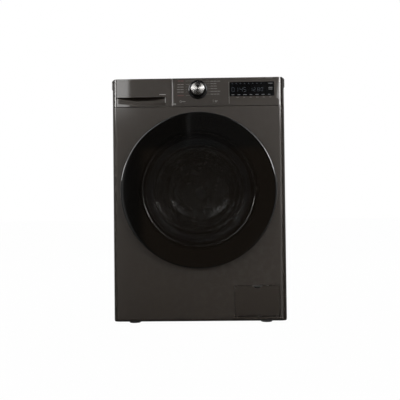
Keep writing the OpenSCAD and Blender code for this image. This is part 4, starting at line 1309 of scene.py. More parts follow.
# ---- the detergent drawer ----
@dataclass
class Drawer:
    """The detergent drawer: its front with the scooped grip, tray and softener cap."""

    work: Workshop
    grip_x: Pair = (-0.2815, -0.1115)
    lip: float = 0.784
    floor: float = 0.7535
    scoop: float = 0.0145
    field: float = 0.0016
    tray_x: Pair = (-0.2855, -0.1085)
    tray_y: Pair = (-0.2365, 0.0535)
    tray_z: Pair = (0.76, 0.804)
    middle: float = -0.179
    split: float = -0.1265
    tray_wall: float = 0.0025

    def build(self) -> None:
        """Builds front, tray and cap."""
        self.face()
        self.tray()
        self.cap()

    def _depth(self, x: float, z: float) -> float:
        """How far the face is pressed in at a point: a shallow field with a deep crescent under the lip."""
        s = (x - self.grip_x[0]) / (self.grip_x[1] - self.grip_x[0])
        t = (z - self.floor) / (self.lip - self.floor)
        if not (0 < s < 1 and 0 < t < 1):
            return 0.0
        belly = math.sin(math.pi * min(s * 0.93 + 0.01, 1.0)) ** 0.8
        start = 1 - 0.42 * belly
        hollow = max((t - start) / (1 - start), 0.0) ** 0.85
        field_depth = self.field * s * min(max((t - 0.12) / 0.2, 0.0), 1.0)
        return self.scoop * belly * hollow + field_depth

    def face(self) -> None:
        """The front moulding, rolled round the left upright edge."""
        piece = Piece("drawer_face")
        x = (-AT.side, AT.drawer_x1)
        z = (AT.panel_z, AT.face_top)
        back = AT.front + 0.022
        piece.plate(Opening(x, z), [], (AT.front, back))
        upper = [
            e for e in piece.bm.edges if all(v.co.x < x[0] + 1e-6 and v.co.z > z[1] - 1e-6 for v in e.verts)
        ]
        piece.bevel(upper, 0.0105, 7)
        piece.round_upright(-1)
        piece.soften(0.0012, 50, 2, near=(AT.front - 0.001, AT.front + 0.02))
        width = self.grip_x[1] - self.grip_x[0]
        steps, guard = 34, 0.0006
        ends = [self.grip_x[0] - guard, self.grip_x[1] - guard, self.grip_x[1] + guard]
        piece.cut(Axis.X, [self.grip_x[0] + width * k / steps for k in range(steps + 1)] + ends)
        rise = self.lip - self.floor
        levels = [self.floor + rise * k / 26 for k in range(27)]
        piece.cut(Axis.Z, levels + [self.floor - guard, self.lip - guard, self.lip + guard])
        for v in piece.bm.verts:
            if v.co.y < back - 0.001:
                v.co.y += self._depth(v.co.x, v.co.z)
        piece.block(
            (x[0] + 0.002, x[1] - 0.001), (back - 0.001, AT.front + AT.return_depth), (z[0] + 0.001, 0.8135),
            0.0005, 1,
        )
        self.work.fit(piece, "drawer", Paint.FASCIA, "fascia", ["drawer_front"], crease=32)
        # The pale strip at the grip's right end is a painted highlight standing for the lit end wall; the bar
        # over the lip is a printed label.
        painted_highlight_and_label = Piece("drawer_marks")
        end = self.grip_x[1]
        painted_highlight_and_label.block(
            (end - 0.0028, end - 0.0008), (AT.front + 0.0002, AT.front + 0.0018),
            (self.lip - 0.019, self.lip - 0.001),
        )
        painted_highlight_and_label.block(
            (end - 0.022, end), (AT.front - 0.00035, AT.front + 0.0001),
            (self.lip + 0.0085, self.lip + 0.0101),
        )
        self.work.fit(painted_highlight_and_label, "drawer", Paint.EDGE, "fascia", even=False)

    def tray(self) -> None:
        """The white tray with its three compartments, a rib and a pull edge."""
        piece = Piece("drawer_tray_body")
        w = self.tray_wall
        piece.block(self.tray_x, self.tray_y, self.tray_z)
        piece.cut(Axis.X, [self.tray_x[0] + w, self.middle - w / 2, self.middle + w / 2, self.tray_x[1] - w])
        piece.cut(Axis.Y, [self.tray_y[0] + 0.012, self.split, self.split + w, self.tray_y[1] - w])
        wells = []
        for f in piece.bm.faces:
            if f.normal.z < 0.99:
                continue
            c = f.calc_center_median()
            left = self.tray_x[0] + w < c.x < self.middle - w / 2
            right = self.middle + w / 2 < c.x < self.tray_x[1] - w
            deep = self.tray_y[0] + 0.012 < c.y < self.tray_y[1] - w
            wall = self.split < c.y < self.split + w
            if deep and (left or (right and not wall)):
                wells.append(f)
        grown = bmesh.ops.extrude_face_region(piece.bm, geom=wells)["geom"]
        low = [g for g in grown if isinstance(g, bmesh.types.BMVert)]
        bmesh.ops.translate(piece.bm, verts=low, vec=(0, 0, -(self.tray_z[1] - self.tray_z[0] - w)))
        piece.soften(0.0007, 50, 2)
        for k in range(3):
            y = self.split + 0.045 + k * 0.04
            piece.block(
                (self.tray_x[0] + w - 0.0002, self.tray_x[0] + w + 0.0015), (y, y + 0.0016), (0.764, 0.797),
                0.0004, 1,
            )
        self.work.fit(piece, "drawer", Paint.WHITE, "white_plastic", ["drawer_tray"])

    def cap(self) -> None:
        """The blue siphon cap over the softener compartment."""
        piece = Piece("softener_siphon")
        w = self.tray_wall
        x = (self.middle + w / 2 + 0.0003, self.tray_x[1] - w - 0.0003)
        y = (self.tray_y[0] + 0.0123, self.split - 0.0003)
        piece.block(x, y, (0.8, 0.8025), 0.0008)
        piece.block((x[0] + 0.002, x[1] - 0.002), (y[0] + 0.002, y[1] - 0.002), (0.794, 0.8), 0.0006)
        mid = (x[0] + x[1]) / 2
        piece.rod(Axis.Z, (mid, y[0] + 0.03, 0), 0.009, (0.801, 0.8038), 32, soft=0.0006)
        piece.block((mid - 0.002, mid + 0.002), (y[0] + 0.05, y[1] - 0.01), (0.802, 0.8036), 0.0005)
        piece.block((mid - 0.014, mid + 0.014), (y[0] + 0.052, y[0] + 0.055), (0.802, 0.8036), 0.0005)
        self.work.fit(piece, "drawer", Paint.BLUE, "blue_plastic", ["softener_cap"])


# ---- the door ----
@dataclass
class Door:
    """The round door: tinted cover, ring, inner frame, glass bowl, hinge leaf and latch hook."""

    work: Workshop
    cover: float = 0.0045
    bowl: float = 0.15
    glass: float = 0.005

    def build(self) -> None:
        """Builds the door from the outside in."""
        self.tinted_cover()
        self.ring()
        self.inner_frame()
        self.glass_bowl()
        self.hinge()
        self.latch()

    def tinted_cover(self) -> None:
        """The flat cover with its rounded rim."""
        y, r = AT.door_y, AT.door_r
        piece = Piece("door_tinted_cover")
        rim = [(
            r - 0.004 + 0.004 * math.sin(a), y + 0.0035 - 0.0035 * math.cos(a)
        ) for a in (0, 0.3, 0.6, 0.9, 1.2, math.pi / 2)]
        piece.turn(
            Axis.Y, AT.axis,
            [(0, y), (0.1, y), (r - 0.012, y), *rim, (r, y + self.cover), (0, y + self.cover)], 160
        )
        self.work.fit(piece, "door", Paint.BORDER, "tinted_gloss", ["door_cover"])

    def ring(self) -> None:
        """The ring behind the cover: its side wall narrows towards the cabinet and folds in to a back lip."""
        y0, yf, r = AT.door_y + self.cover, AT.front, AT.door_r
        piece = Piece("door_ring_moulding")
        faces = piece.turn(
            Axis.Y, AT.axis,
            [
                (0.204, y0), (r - 0.0012, y0), (r - 0.001, y0 + 0.004), (r - 0.0022, y0 + 0.012),
                (r - 0.008, y0 + 0.02),
                (0.2455, yf - 0.0096), (0.2435, yf - 0.0083), (0.241, yf - 0.008), (0.2095, yf - 0.008),
                (0.208, yf - 0.0085), (0.208, yf - 0.012), (0.237, yf - 0.012), (0.253, y0 + 0.01),
                (0.249, y0 + 0.004),
                (0.204, y0 + 0.004),
            ],
            144,
        )
        slots = []
        for f in faces:
            c = f.calc_center_median()
            if c.y > y0 + 0.006 and abs(c.z - AT.axis_z) < 0.064 and c.x < -0.22:
                slots.append(f)
            if c.y > yf - 0.02 and abs(c.z - AT.axis_z) < 0.014 and 0.196 < c.x < 0.24:
                slots.append(f)
        bmesh.ops.delete(piece.bm, geom=slots, context="FACES")
        for low in (-0.015, 0.01):
            z = AT.axis_z + low
            piece.block((AT.latch_x - 0.005, AT.latch_x + 0.007), (y0, yf - 0.011), (z, z + 0.005), 0.0006)
        piece.rod(Axis.Z, (AT.latch_x, yf - 0.016, 0), 0.002, (AT.axis_z - 0.015, AT.axis_z + 0.015), 16)
        self.work.fit(piece, "door", Paint.BLACK, "black_plastic", ["door_ring"])

    def inner_frame(self) -> None:
        """The frame that clamps the bowl, with a polished inner bevel."""
        y0, yf = AT.front - 0.026, AT.front
        piece = Piece("door_inner_moulding")
        piece.turn(
            Axis.Y, AT.axis,
            [
                (0.1768, y0), (0.1955, y0), (0.196, y0 + 0.001), (0.196, yf - 0.0085), (0.1945, yf - 0.007),
                (0.1795, yf - 0.007), (0.178, yf - 0.0078), (0.1765, y0 + 0.002),
            ],
            128,
        )
        self.work.fit(piece, "door", Paint.BLACK, "black_plastic", ["door_inner_frame"])
        trim = Piece("bowl_bezel_line")
        face = AT.front - 0.034
        round_edge = [
            (0.1868 + 0.0052 * (1 - math.cos(a)), face - 0.0052 * math.sin(a))
            for a in (k * math.pi / 16 for k in range(9))
        ]
        trim.turn(Axis.Y, AT.axis, [*round_edge, (0.194, face - 0.0052), (0.194, face)], 160)
        self.work.fit(trim, "door", Paint.SMOKED, "black_plastic", even=False)

    def glass_bowl(self) -> None:
        """The pressed glass bowl that reaches into the drum's mouth."""
        yf, b, t = AT.front, self.bowl, self.glass
        y0 = yf - 0.034
        piece = Piece("door_glass_bowl")
        piece.turn(
            Axis.Y, AT.axis,
            [
                (b - 0.003, y0 + 0.0006), (b, y0), (b + 0.0295, y0), (b + 0.03, y0 + 0.0005),
                (b + 0.03, y0 + t - 0.0005),
                (b + 0.0295, y0 + t), (b + 0.006, y0 + t + 0.0006), (b + 0.0012, y0 + t + 0.003),
                (b, y0 + t + 0.008),
                (b, yf + 0.02), (b - 0.001, yf + 0.032), (b - 0.0055, yf + 0.056), (b - 0.012, yf + 0.08),
                (b - 0.0185, yf + 0.106), (b - 0.0193, yf + 0.12), (b - 0.0213, yf + 0.1295),
                (b - 0.0262, yf + 0.1365),
                (b - 0.0333, yf + 0.1411), (b - 0.0425, yf + 0.1443), (b - 0.055, yf + 0.1471),
                (b - 0.076, yf + 0.1492),
                (0, yf + 0.15), (0, yf + 0.15 - t), (b - 0.0765, yf + 0.1492 - t),
                (b - 0.056, yf + 0.1471 - t),
                (b - 0.044, yf + 0.1443 - t), (b - 0.036, yf + 0.1366), (b - 0.0298, yf + 0.1325),
                (b - 0.0262, yf + 0.1275), (b - 0.0243, yf + 0.119), (b - 0.0235, yf + 0.104),
                (b - 0.017, yf + 0.079), (b - 0.0105, yf + 0.055), (b - 0.006, yf + 0.031),
                (b - t, yf + 0.019),
                (b - t, y0 + t + 0.004), (b - t + 0.0006, y0 + 0.003),
            ],
            128,
        )
        self.work.fit(piece, "door", Paint.GLASS, "bowl_glass", ["door_bowl"], even=False)

    def hinge(self) -> None:
        """The knuckle and leaf on the door and the cranked bracket on the cabinet."""
        z, hx, hy = AT.axis_z, AT.hinge_x, AT.hinge_y
        leaf = Piece("hinge_leaf")
        low, high = z - 0.0477, z + 0.0477
        leaf.rod(Axis.Z, (hx, hy, 0), 0.007, (low, high), 32, soft=0.0006)
        leaf.block((hx, hx + 0.018), (hy - 0.004, hy + 0.002), (low, high), 0.0007)
        self.work.fit(leaf, "door", Paint.ZINC, "galvanised_steel", ["door_hinge_leaf"])
        bracket = Piece("hinge_bracket")
        for side in (-1, 1):
            arm = z + side * 0.052
            bracket.block(
                (hx - 0.0045, hx + 0.02), (hy - 0.0045, hy + 0.0045), (arm - 0.004, arm + 0.004), 0.001
            )
            bracket.block(
                (hx + 0.011, hx + 0.02), (hy + 0.001, AT.front - 0.003), (arm - 0.004, arm + 0.004), 0.001
            )
            bracket.rod(Axis.Z, (hx, hy, 0), 0.003, (arm - 0.012, arm + 0.012), 20, soft=0.0004)
            for dz in (-0.022, -0.008):
                bracket.rod(
                    Axis.Y, (hx + 0.011, 0, arm + side * dz), 0.0045, (AT.front - 0.0062, AT.front - 0.004),
                    20, soft=0.0008
                )
        bracket.block((hx - 0.004, hx + 0.026), (AT.front - 0.004, AT.front), (z - 0.066, z + 0.066), 0.0012)
        self.work.fit(bracket, "cabinet", Paint.ZINC, "galvanised_steel", ["door_hinge_bracket"])

    def latch(self) -> None:
        """The sprung hook that goes into the lock."""
        x, y, z = AT.latch_x, AT.front - 0.01, AT.axis_z
        piece = Piece("latch_hook")
        piece.block((x - 0.003, x + 0.003), (y - 0.008, AT.front + 0.018), (z - 0.009, z + 0.009), 0.0008)
        piece.block(
            (x - 0.007, x - 0.002), (AT.front + 0.011, AT.front + 0.018), (z - 0.009, z + 0.009), 0.001
        )
        piece.rod(Axis.Z, (x, y - 0.006, 0), 0.005, (z - 0.009, z + 0.009), 24, soft=0.0006)
        self.work.fit(piece, "latch_hook", Paint.ZINC, "galvanised_steel", ["door_latch_hook"])


# ---- what hangs the tub and leads water to it ----
@dataclass
class SoftParts:
    """The gasket, the tub's springs and the bellows hoses, which give way as the tub moves."""

    work: Workshop
    tub_y: float = -0.1965
    spring: tuple[float, float, float] = (0.2505, 0.0915, 0.0114)
    spring_z: Pair = (0.6134, 0.7427)
    wire: float = 0.0016
    coils: int = 15

    def build(self) -> None:
        """Builds every part that bends."""
        self.gasket()
        self.springs()
        self.bellows("dispenser_bellows", (-0.197, 0.0255), (0.6762, 0.7442), 0.019, True, "dispenser_hose")
        self.bellows("sump_bellows", (0.08, -0.1155), (0.1035, 0.1547), 0.017, False, "tub_drain_hose")

    def gasket(self) -> None:
        """The door gasket with a lip, a main fold and its seat on the tub."""
        yf, m, b = AT.front, AT.mouth, 0.15
        y1 = self.tub_y
        piece = Piece("door_gasket")
        piece.turn(
            Axis.Y, AT.axis,
            [
                (b + 0.0085, yf - 0.0022), (b + 0.0105, yf - 0.003), (m + 0.004, yf - 0.003),
                (m + 0.006, yf - 0.0018),
                (m + 0.006, yf - 0.0003), (m - 0.0003, yf - 0.0003), (m - 0.0003, yf + 0.011),
                (m + 0.001, yf + 0.0145),
                (m + 0.0055, yf + 0.0195), (m + 0.008, yf + 0.024), (m + 0.0078, yf + 0.032),
                (m + 0.0045, yf + 0.036),
                (m + 0.0045, yf + 0.04), (m + 0.0078, yf + 0.044), (m + 0.008, y1 - 0.013), (m + 0.002, y1),
                (m - 0.004, y1), (m - 0.002, y1 - 0.004), (m + 0.004, y1 - 0.013), (m + 0.004, yf + 0.046),
                (m + 0.0005, yf + 0.042), (m + 0.0005, yf + 0.034), (m + 0.0035, yf + 0.03),
                (m + 0.0035, yf + 0.0265),
                (m - 0.001, yf + 0.023), (m - 0.006, yf + 0.0215), (b + 0.008, yf + 0.0225),
                (b + 0.004, yf + 0.0215),
                (b + 0.003, yf + 0.019), (b + 0.004, yf + 0.016), (m - 0.012, yf + 0.0125),
                (m - 0.0095, yf + 0.009),
                (m - 0.0105, yf + 0.004),
            ],
            128,
        )
        ends = ((0, AT.front + 0.024, AT.axis_z), (0, self.tub_y - 0.008, AT.axis_z))
        self.work.span(piece, ("cabinet", "tub"), ends, Paint.RUBBER, "grey_rubber", ["gasket"])

    def springs(self) -> None:
        """Two wound springs with hooked ends."""
        piece = Piece("tub_springs")
        x, y, r = self.spring
        low, high = self.spring_z
        rise = high - low - 0.012
        steps = self.coils * 20
        for side in (-1, 1):
            made = bmesh.ops.create_circle(piece.bm, segments=8, radius=self.wire)["verts"]
            bmesh.ops.rotate(
                piece.bm, verts=made, cent=(0, 0, 0), matrix=Matrix.Rotation(math.pi / 2, 3, "X")
            )
            bmesh.ops.translate(piece.bm, verts=made, vec=(side * x + r, y, low + 0.006))
            edges = list({e for v in made for e in v.link_edges})
            bmesh.ops.spin(
                piece.bm, geom=made + edges, cent=(side * x, y, 0), axis=(0, 0, 1), dvec=(0, 0, rise / steps),
                angle=FULL_TURN * self.coils, steps=steps, use_merge=False, use_duplicate=False,
            )
            open_ends = [e for e in piece.bm.edges if e.is_boundary]
            bmesh.ops.holes_fill(piece.bm, edges=open_ends, sides=8)
            for z in (low + 0.0008, high - 0.0038):
                piece.rod(Axis.Z, (side * x, y, 0), 0.0125, (z, z + 0.003), 32, soft=0.0008)
        ends = ((x, y, high - 0.008), (x, y, low + 0.008))
        self.work.span(
            piece, ("cabinet", "tub"), ends, Paint.ZINC, "galvanised_steel", ["suspension_springs"]
        )

    def bellows(self, name: str, place: Pair, z: Pair, radius: float, top_fixed: bool, node: str) -> None:
        """A folded rubber hose that stands upright.

        Args:
            name: the piece's name.
            place: its middle line's X and Y.
            z: its two ends.
            radius: its inner fold's radius.
            top_fixed: whether its top end is the one on the cabinet.
            node: the frame's node that it stands for.
        """
        piece = Piece(name)
        folds = 4
        count = folds * 8
        outer = []
        for k in range(count + 1):
            s = k / count
            wave = 0.5 - 0.5 * math.cos(FULL_TURN * folds * s)
            outer.append((radius + 0.0036 * wave, z[0] + (z[1] - z[0]) * s))
        inner = [(r - 0.0025, h) for r, h in reversed(outer)]
        piece.turn(Axis.Z, (*place, 0), outer + inner, 40)
        top, bottom = (*place, z[1] - 0.006), (*place, z[0] + 0.006)
        ends = (top, bottom) if top_fixed else (bottom, top)
        self.work.span(piece, ("cabinet", "tub"), ends, Paint.BLACK_RUBBER, "grey_rubber", [node])


# ---- the drum ----
@dataclass
class Drum:
    """The perforated drum with its three lifters."""

    work: Workshop
    radius: float = 0.245
    y: Pair = (-0.1605, 0.1645)
    mouth: float = 0.175
    sheet: float = 0.0012
    rows: int = 20
    around: int = 108

    def build(self) -> None:
        """Builds shell and lifters."""
        self.shell()
        self.lifters()

    def shell(self) -> None:
        """The stainless shell: plain front, perforated wall, back with pressed rings."""
        piece = Piece("drum_perforated_shell")
        y0, y1 = self.y
        r = self.radius
        wall = [(r, y0 + 0.014 + (y1 - y0 - 0.022) * k / self.rows) for k in range(self.rows + 1)]
        profile = [
            (self.mouth, y0 + 0.013), (self.mouth, y0 + 0.002), (self.mouth + 0.001, y0), (r - 0.014, y0),
            (r - 0.004, y0 + 0.004), *wall, (r - 0.003, y1 - 0.002), (r - 0.01, y1), (0.16, y1),
            (0.152, y1 - 0.006),
            (0.12, y1 - 0.006), (0.112, y1), (0.04, y1), (0.023, y1),
        ]
        piece.turn(Axis.Y, AT.axis, profile, self.around, closed=False)
        low, high = wall[0][1], wall[-1][1]
        holes = []
        for f in piece.bm.faces:
            c = f.calc_center_median()
            if not low < c.y < high:
                continue
            row = int((c.y - low) / (high - low) * self.rows)
            turn = int((math.atan2(c.x, c.z - AT.axis_z) % FULL_TURN) / FULL_TURN * self.around)
            if (row + turn) % 2 == 0 and 1 <= row < self.rows - 1:
                holes.append(f)
        bmesh.ops.inset_individual(piece.bm, faces=holes, thickness=0.0046, use_even_offset=True)
        corners = list({v for f in holes for v in f.verts})
        piece.bevel(corners, 0.0014, 1, kind="VERTICES")
        tiny = [f for f in piece.bm.faces if len(f.verts) == 8 and f.calc_area() < 0.00008]
        bmesh.ops.delete(piece.bm, geom=tiny, context="FACES")
        bmesh.ops.recalc_face_normals(piece.bm, faces=piece.bm.faces[:])
        bmesh.ops.solidify(piece.bm, geom=piece.bm.faces[:], thickness=self.sheet * 0.8)
        self.work.fit(piece, "drum", Paint.STAINLESS, "stainless", ["drum_shell"], even=False)

    def lifters(self) -> None:
        """Three hollow ridges that lift the laundry."""
        piece = Piece("drum_lifter_ridges")
        foot = self.radius - 0.003
        y = (self.y[0] + 0.03, self.y[1] - 0.022)
        faces = piece.block((foot - 0.052, foot), y, (AT.axis_z - 0.026, AT.axis_z + 0.026))
        for v in {v for f in faces for v in f.verts}:
            if v.co.x < foot - 0.01:
                v.co.z = AT.axis_z + (v.co.z - AT.axis_z) * 0.42
                v.co.y += 0.016 if v.co.y < 0 else -0.016
        piece.soften(0.008, 30, 4)
        whole = piece.bm.faces[:]
        piece.rotate(whole, math.radians(-90), Axis.Y, AT.axis)
        piece.ring_of(whole, math.radians(120), Axis.Y, AT.axis, 3)
        self.work.fit(piece, "drum", Paint.TUB, "tub_plastic", ["drum_lifters"])


# ---- access cover, pump filter and feet ----
@dataclass
class Service:
    """The access cover at the lower right, the filter behind it and the four feet."""

    work: Workshop
    wall: float = 0.0025
    notch: float = 0.0145
    notch_depth: float = 0.0085
    filter_x: float = 0.1785
    filter_z: float = 0.078
    foot_x: float = 0.2305
    foot_y: Pair = (-0.2155, 0.2495)

    def build(self) -> None:
        """Builds cover, filter and feet."""
        self.cover()
        self.filter()
        for side, body in ((-1, "left"), (1, "right")):
            for y, end in zip(self.foot_y, ("front", "rear")):
                self.foot(side * self.foot_x, y, f"{end}_foot_{body}", f"foot_{end}_{body}")

    def cover(self) -> None:
        """The cover with a finger notch cut from its top edge and its hinge bar."""
        piece = Piece("access_door")
        x = (AT.access_x - AT.access_half, AT.access_x + AT.access_half)
        z = (AT.access_z0, AT.access_z1)
        piece.plate(Opening(x, z, 0.0035), [], (AT.front, AT.front + self.wall))
        steps = 16
        piece.cut(
            Axis.X, [AT.access_x + self.notch * math.cos(k * math.pi / steps) for k in range(steps + 1)]
        )
        base = z[1] - 2 * self.notch_depth
        piece.cut(Axis.Z, [base])
        for v in piece.bm.verts:
            off = (v.co.x - AT.access_x) / self.notch
            if abs(off) < 1 and v.co.z > base:
                left = 1 - self.notch_depth * math.sqrt(1 - off * off) / (z[1] - base)
                v.co.z = base + (v.co.z - base) * left
        piece.soften(0.0007, 50, 2, near=(AT.front - 0.001, AT.front + 0.001))
        axis = (0, AT.front + 0.005, AT.access_z0 + 0.004)
        piece.rod(Axis.X, axis, 0.0028, (x[0] + 0.012, x[1] - 0.012), 20)
        piece.rod(Axis.X, axis, 0.0014, (x[0] + 0.004, x[1] - 0.004), 16)
        for dx in (-0.05, 0.05):
            mid = AT.access_x + dx
            piece.block(
                (mid - 0.006, mid + 0.006), (AT.front + 0.002, AT.front + 0.0048),
                (z[1] - 0.012, z[1] - 0.007), 0.0006,
            )
        self.work.fit(piece, "access_cover", Paint.FASCIA, "fascia", ["filter_cover"], crease=30)
        lip = Piece("access_door_lip")
        lip.block(
            (AT.access_x - self.notch - 0.003, AT.access_x + self.notch + 0.003),
            (AT.front - 0.0002, AT.front + 0.0012),
            (z[1] - 0.0021, z[1] - 0.0002), 0.0003, 1,
        )
        self.work.fit(lip, "access_cover", Paint.PRINT, "fascia", even=False)

    def filter(self) -> None:
        """The pump filter: a grip bar, a ribbed cap and a slotted basket."""
        piece = Piece("pump_filter_plug")
        centre = (self.filter_x, 0, self.filter_z)
        y = AT.front + 0.022
        piece.turn(
            Axis.Y, centre,
            [
                (0, y - 0.004), (0.0285, y - 0.004), (0.03, y - 0.0025), (0.03, y + 0.012),
                (0.0285, y + 0.0135),
                (0.0285, y + 0.016), (0.03, y + 0.0175), (0.03, y + 0.02), (0, y + 0.02),
            ],
            64,
        )
        piece.block(
            (self.filter_x - 0.024, self.filter_x + 0.024), (y - 0.0138, y - 0.0035),
            (self.filter_z - 0.005, self.filter_z + 0.005), 0.0022, 3,
        )
        for k in range(12):
            slat = piece.block((-0.0024, 0.0024), (y + 0.018, y + 0.068), (0.0258, 0.0295), 0.0005, 1)
            verts = list({v for f in slat for v in f.verts})
            bmesh.ops.translate(piece.bm, verts=verts, vec=(self.filter_x, 0, self.filter_z))
            piece.rotate(slat, FULL_TURN * (k + 0.5) / 12, Axis.Y, centre)
        piece.turn(
            Axis.Y, centre,
            [(0.0255, y + 0.066), (0.0298, y + 0.066), (0.0298, y + 0.0708), (0.0255, y + 0.0708)], 48
        )
        self.work.fit(piece, "pump_filter", Paint.DARK_GREY, "black_plastic", ["drain_filter"])

    def foot(self, x: float, y: float, node: str, body: str) -> None:
        """A levelling foot: rubber-shod pad, hexagon and threaded stud.

        Args:
            x: its place along X.
            y: its place along Y.
            node: the frame's node that it stands for.
            body: the body that it moves with.
        """
        piece = Piece(f"levelling_{node}")
        centre = (x, y, 0)
        piece.turn(
            Axis.Z, centre,
            [
                (0, 0), (0.019, 0), (0.02, 0.001), (0.02, 0.0035), (0.0192, 0.0042), (0.02, 0.005),
                (0.0196, 0.0066), (0.017, 0.008), (0, 0.008),
            ],
            48,
        )
        piece.rod(Axis.Z, centre, 0.0098, (0.0076, 0.0098), 6)
        thread = []
        for k in range(12):
            z = 0.0094 + k * 0.002
            thread += [(0.0044, z), (0.005, z + 0.001)]
        piece.turn(Axis.Z, centre, [(0, 0.0092), *thread, (0.0044, 0.034), (0, 0.034)], 24)
        self.work.fit(piece, body, Paint.BLACK, "black_plastic", [node])


# ---- fittings of the back ----
@dataclass
class BackFittings:
    """The water valve, the drain outlet, the cord gland and the transit bolt caps."""

    work: Workshop
    shell: CabinetShell

    def build(self) -> None:
        """Builds every fitting."""
        self.valve()
        self.outlet()
        self.gland()
        self.caps()

    def valve(self) -> None:
        """The valve's body, coils and threaded spigot."""
        piece = Piece("water_valve")
        x, z, y = self.shell.valve_x, self.shell.valve_z, AT.back
        piece.block((x - 0.04, x + 0.04), (y - 0.048, y - 0.0015), (z - 0.018, z + 0.022), 0.003, 3)
        for side in (-1, 1):
            piece.rod(Axis.Y, (x + side * 0.025, 0, z), 0.0078, (y - 0.06, y - 0.047), 32, soft=0.0008)
            piece.rod(
                Axis.Z, (x + side * 0.025, y - 0.03, 0), 0.0135, (z - 0.0445, z - 0.0155), 40, soft=0.002
            )
        spigot = [(0.0085, y - 0.004), (0.0085, y + 0.0136), (0.0092, y + 0.014), (0.0118, y + 0.014)]
        for k in range(6):
            at = y + 0.0126 - k * 0.0019
            spigot += [(0.0132, at), (0.0121, at - 0.00095)]
        spigot += [(0.0121, y), (0.0185, y - 0.0002), (0.0185, y - 0.0012), (0.013, y - 0.004)]
        piece.turn(Axis.Y, (x, 0, z), spigot, 48)
        piece.turn(
            Axis.Y, (x, 0, z), [(0, y + 0.001), (0.0086, y + 0.001), (0.0086, y + 0.0022), (0, y + 0.0022)],
            32,
        )
        self.work.fit(piece, "cabinet", Paint.WHITE, "white_plastic", ["inlet_valve"])

    def outlet(self) -> None:
        """The drain pipe with its barbed end."""
        piece = Piece("drain_outlet")
        x, z = self.shell.outlet
        y = AT.back
        outer = [(0.011, -0.1575), (0.011, y + 0.001)]
        for k in range(3):
            at = y + 0.0012 + k * 0.0036
            outer += [(0.0098, at), (0.011, at + 0.0006), (0.0101, at + 0.0034)]
        outer += [(0.0098, y + 0.0119), (0.0086, y + 0.012), (0.0085, -0.1575)]
        piece.turn(Axis.Y, (x, 0, z), outer, 40)
        self.work.fit(piece, "cabinet", Paint.DARK_GREY, "grey_rubber", ["drain_pipe"])

    def gland(self) -> None:
        """The cord gland: a flange, a domed collar and a bore."""
        piece = Piece("cord_gland_collar")
        x, z = self.shell.gland
        y = AT.back
        piece.turn(
            Axis.Y, (x, 0, z),
            [
                (0.005, y - 0.008), (0.005, y + 0.0056), (0.0054, y + 0.006), (0.0078, y + 0.006),
                (0.009, y + 0.005),
                (0.0095, y + 0.0022), (0.0134, y + 0.0018), (0.014, y + 0.0012), (0.014, y + 0.0003),
                (0.0098, y + 0.0003), (0.0098, y - 0.008),
            ],
            40,
        )
        self.work.fit(piece, "cabinet", Paint.BLACK, "black_plastic", ["cord_gland"])

    def caps(self) -> None:
        """The four caps in the transit bolt holes."""
        piece = Piece("transit_caps")
        y = AT.back
        for side in (-1, 1):
            for z in self.shell.bolt_z:
                piece.turn(
                    Axis.Y, (side * self.shell.bolt_x, 0, z),
                    [
                        (0, y - 0.012), (0.0138, y - 0.012), (0.0138, y + 0.0003), (0.0205, y + 0.0003),
                        (0.021, y + 0.001), (0.02, y + 0.0028), (0.017, y + 0.0035), (0.012, y + 0.0035),
                        (0.011, y + 0.0022), (0, y + 0.0022),
                    ],
                    40,
                )
        self.work.fit(piece, "cabinet", Paint.BLACK, "black_plastic", ["transit_bolt_caps"])


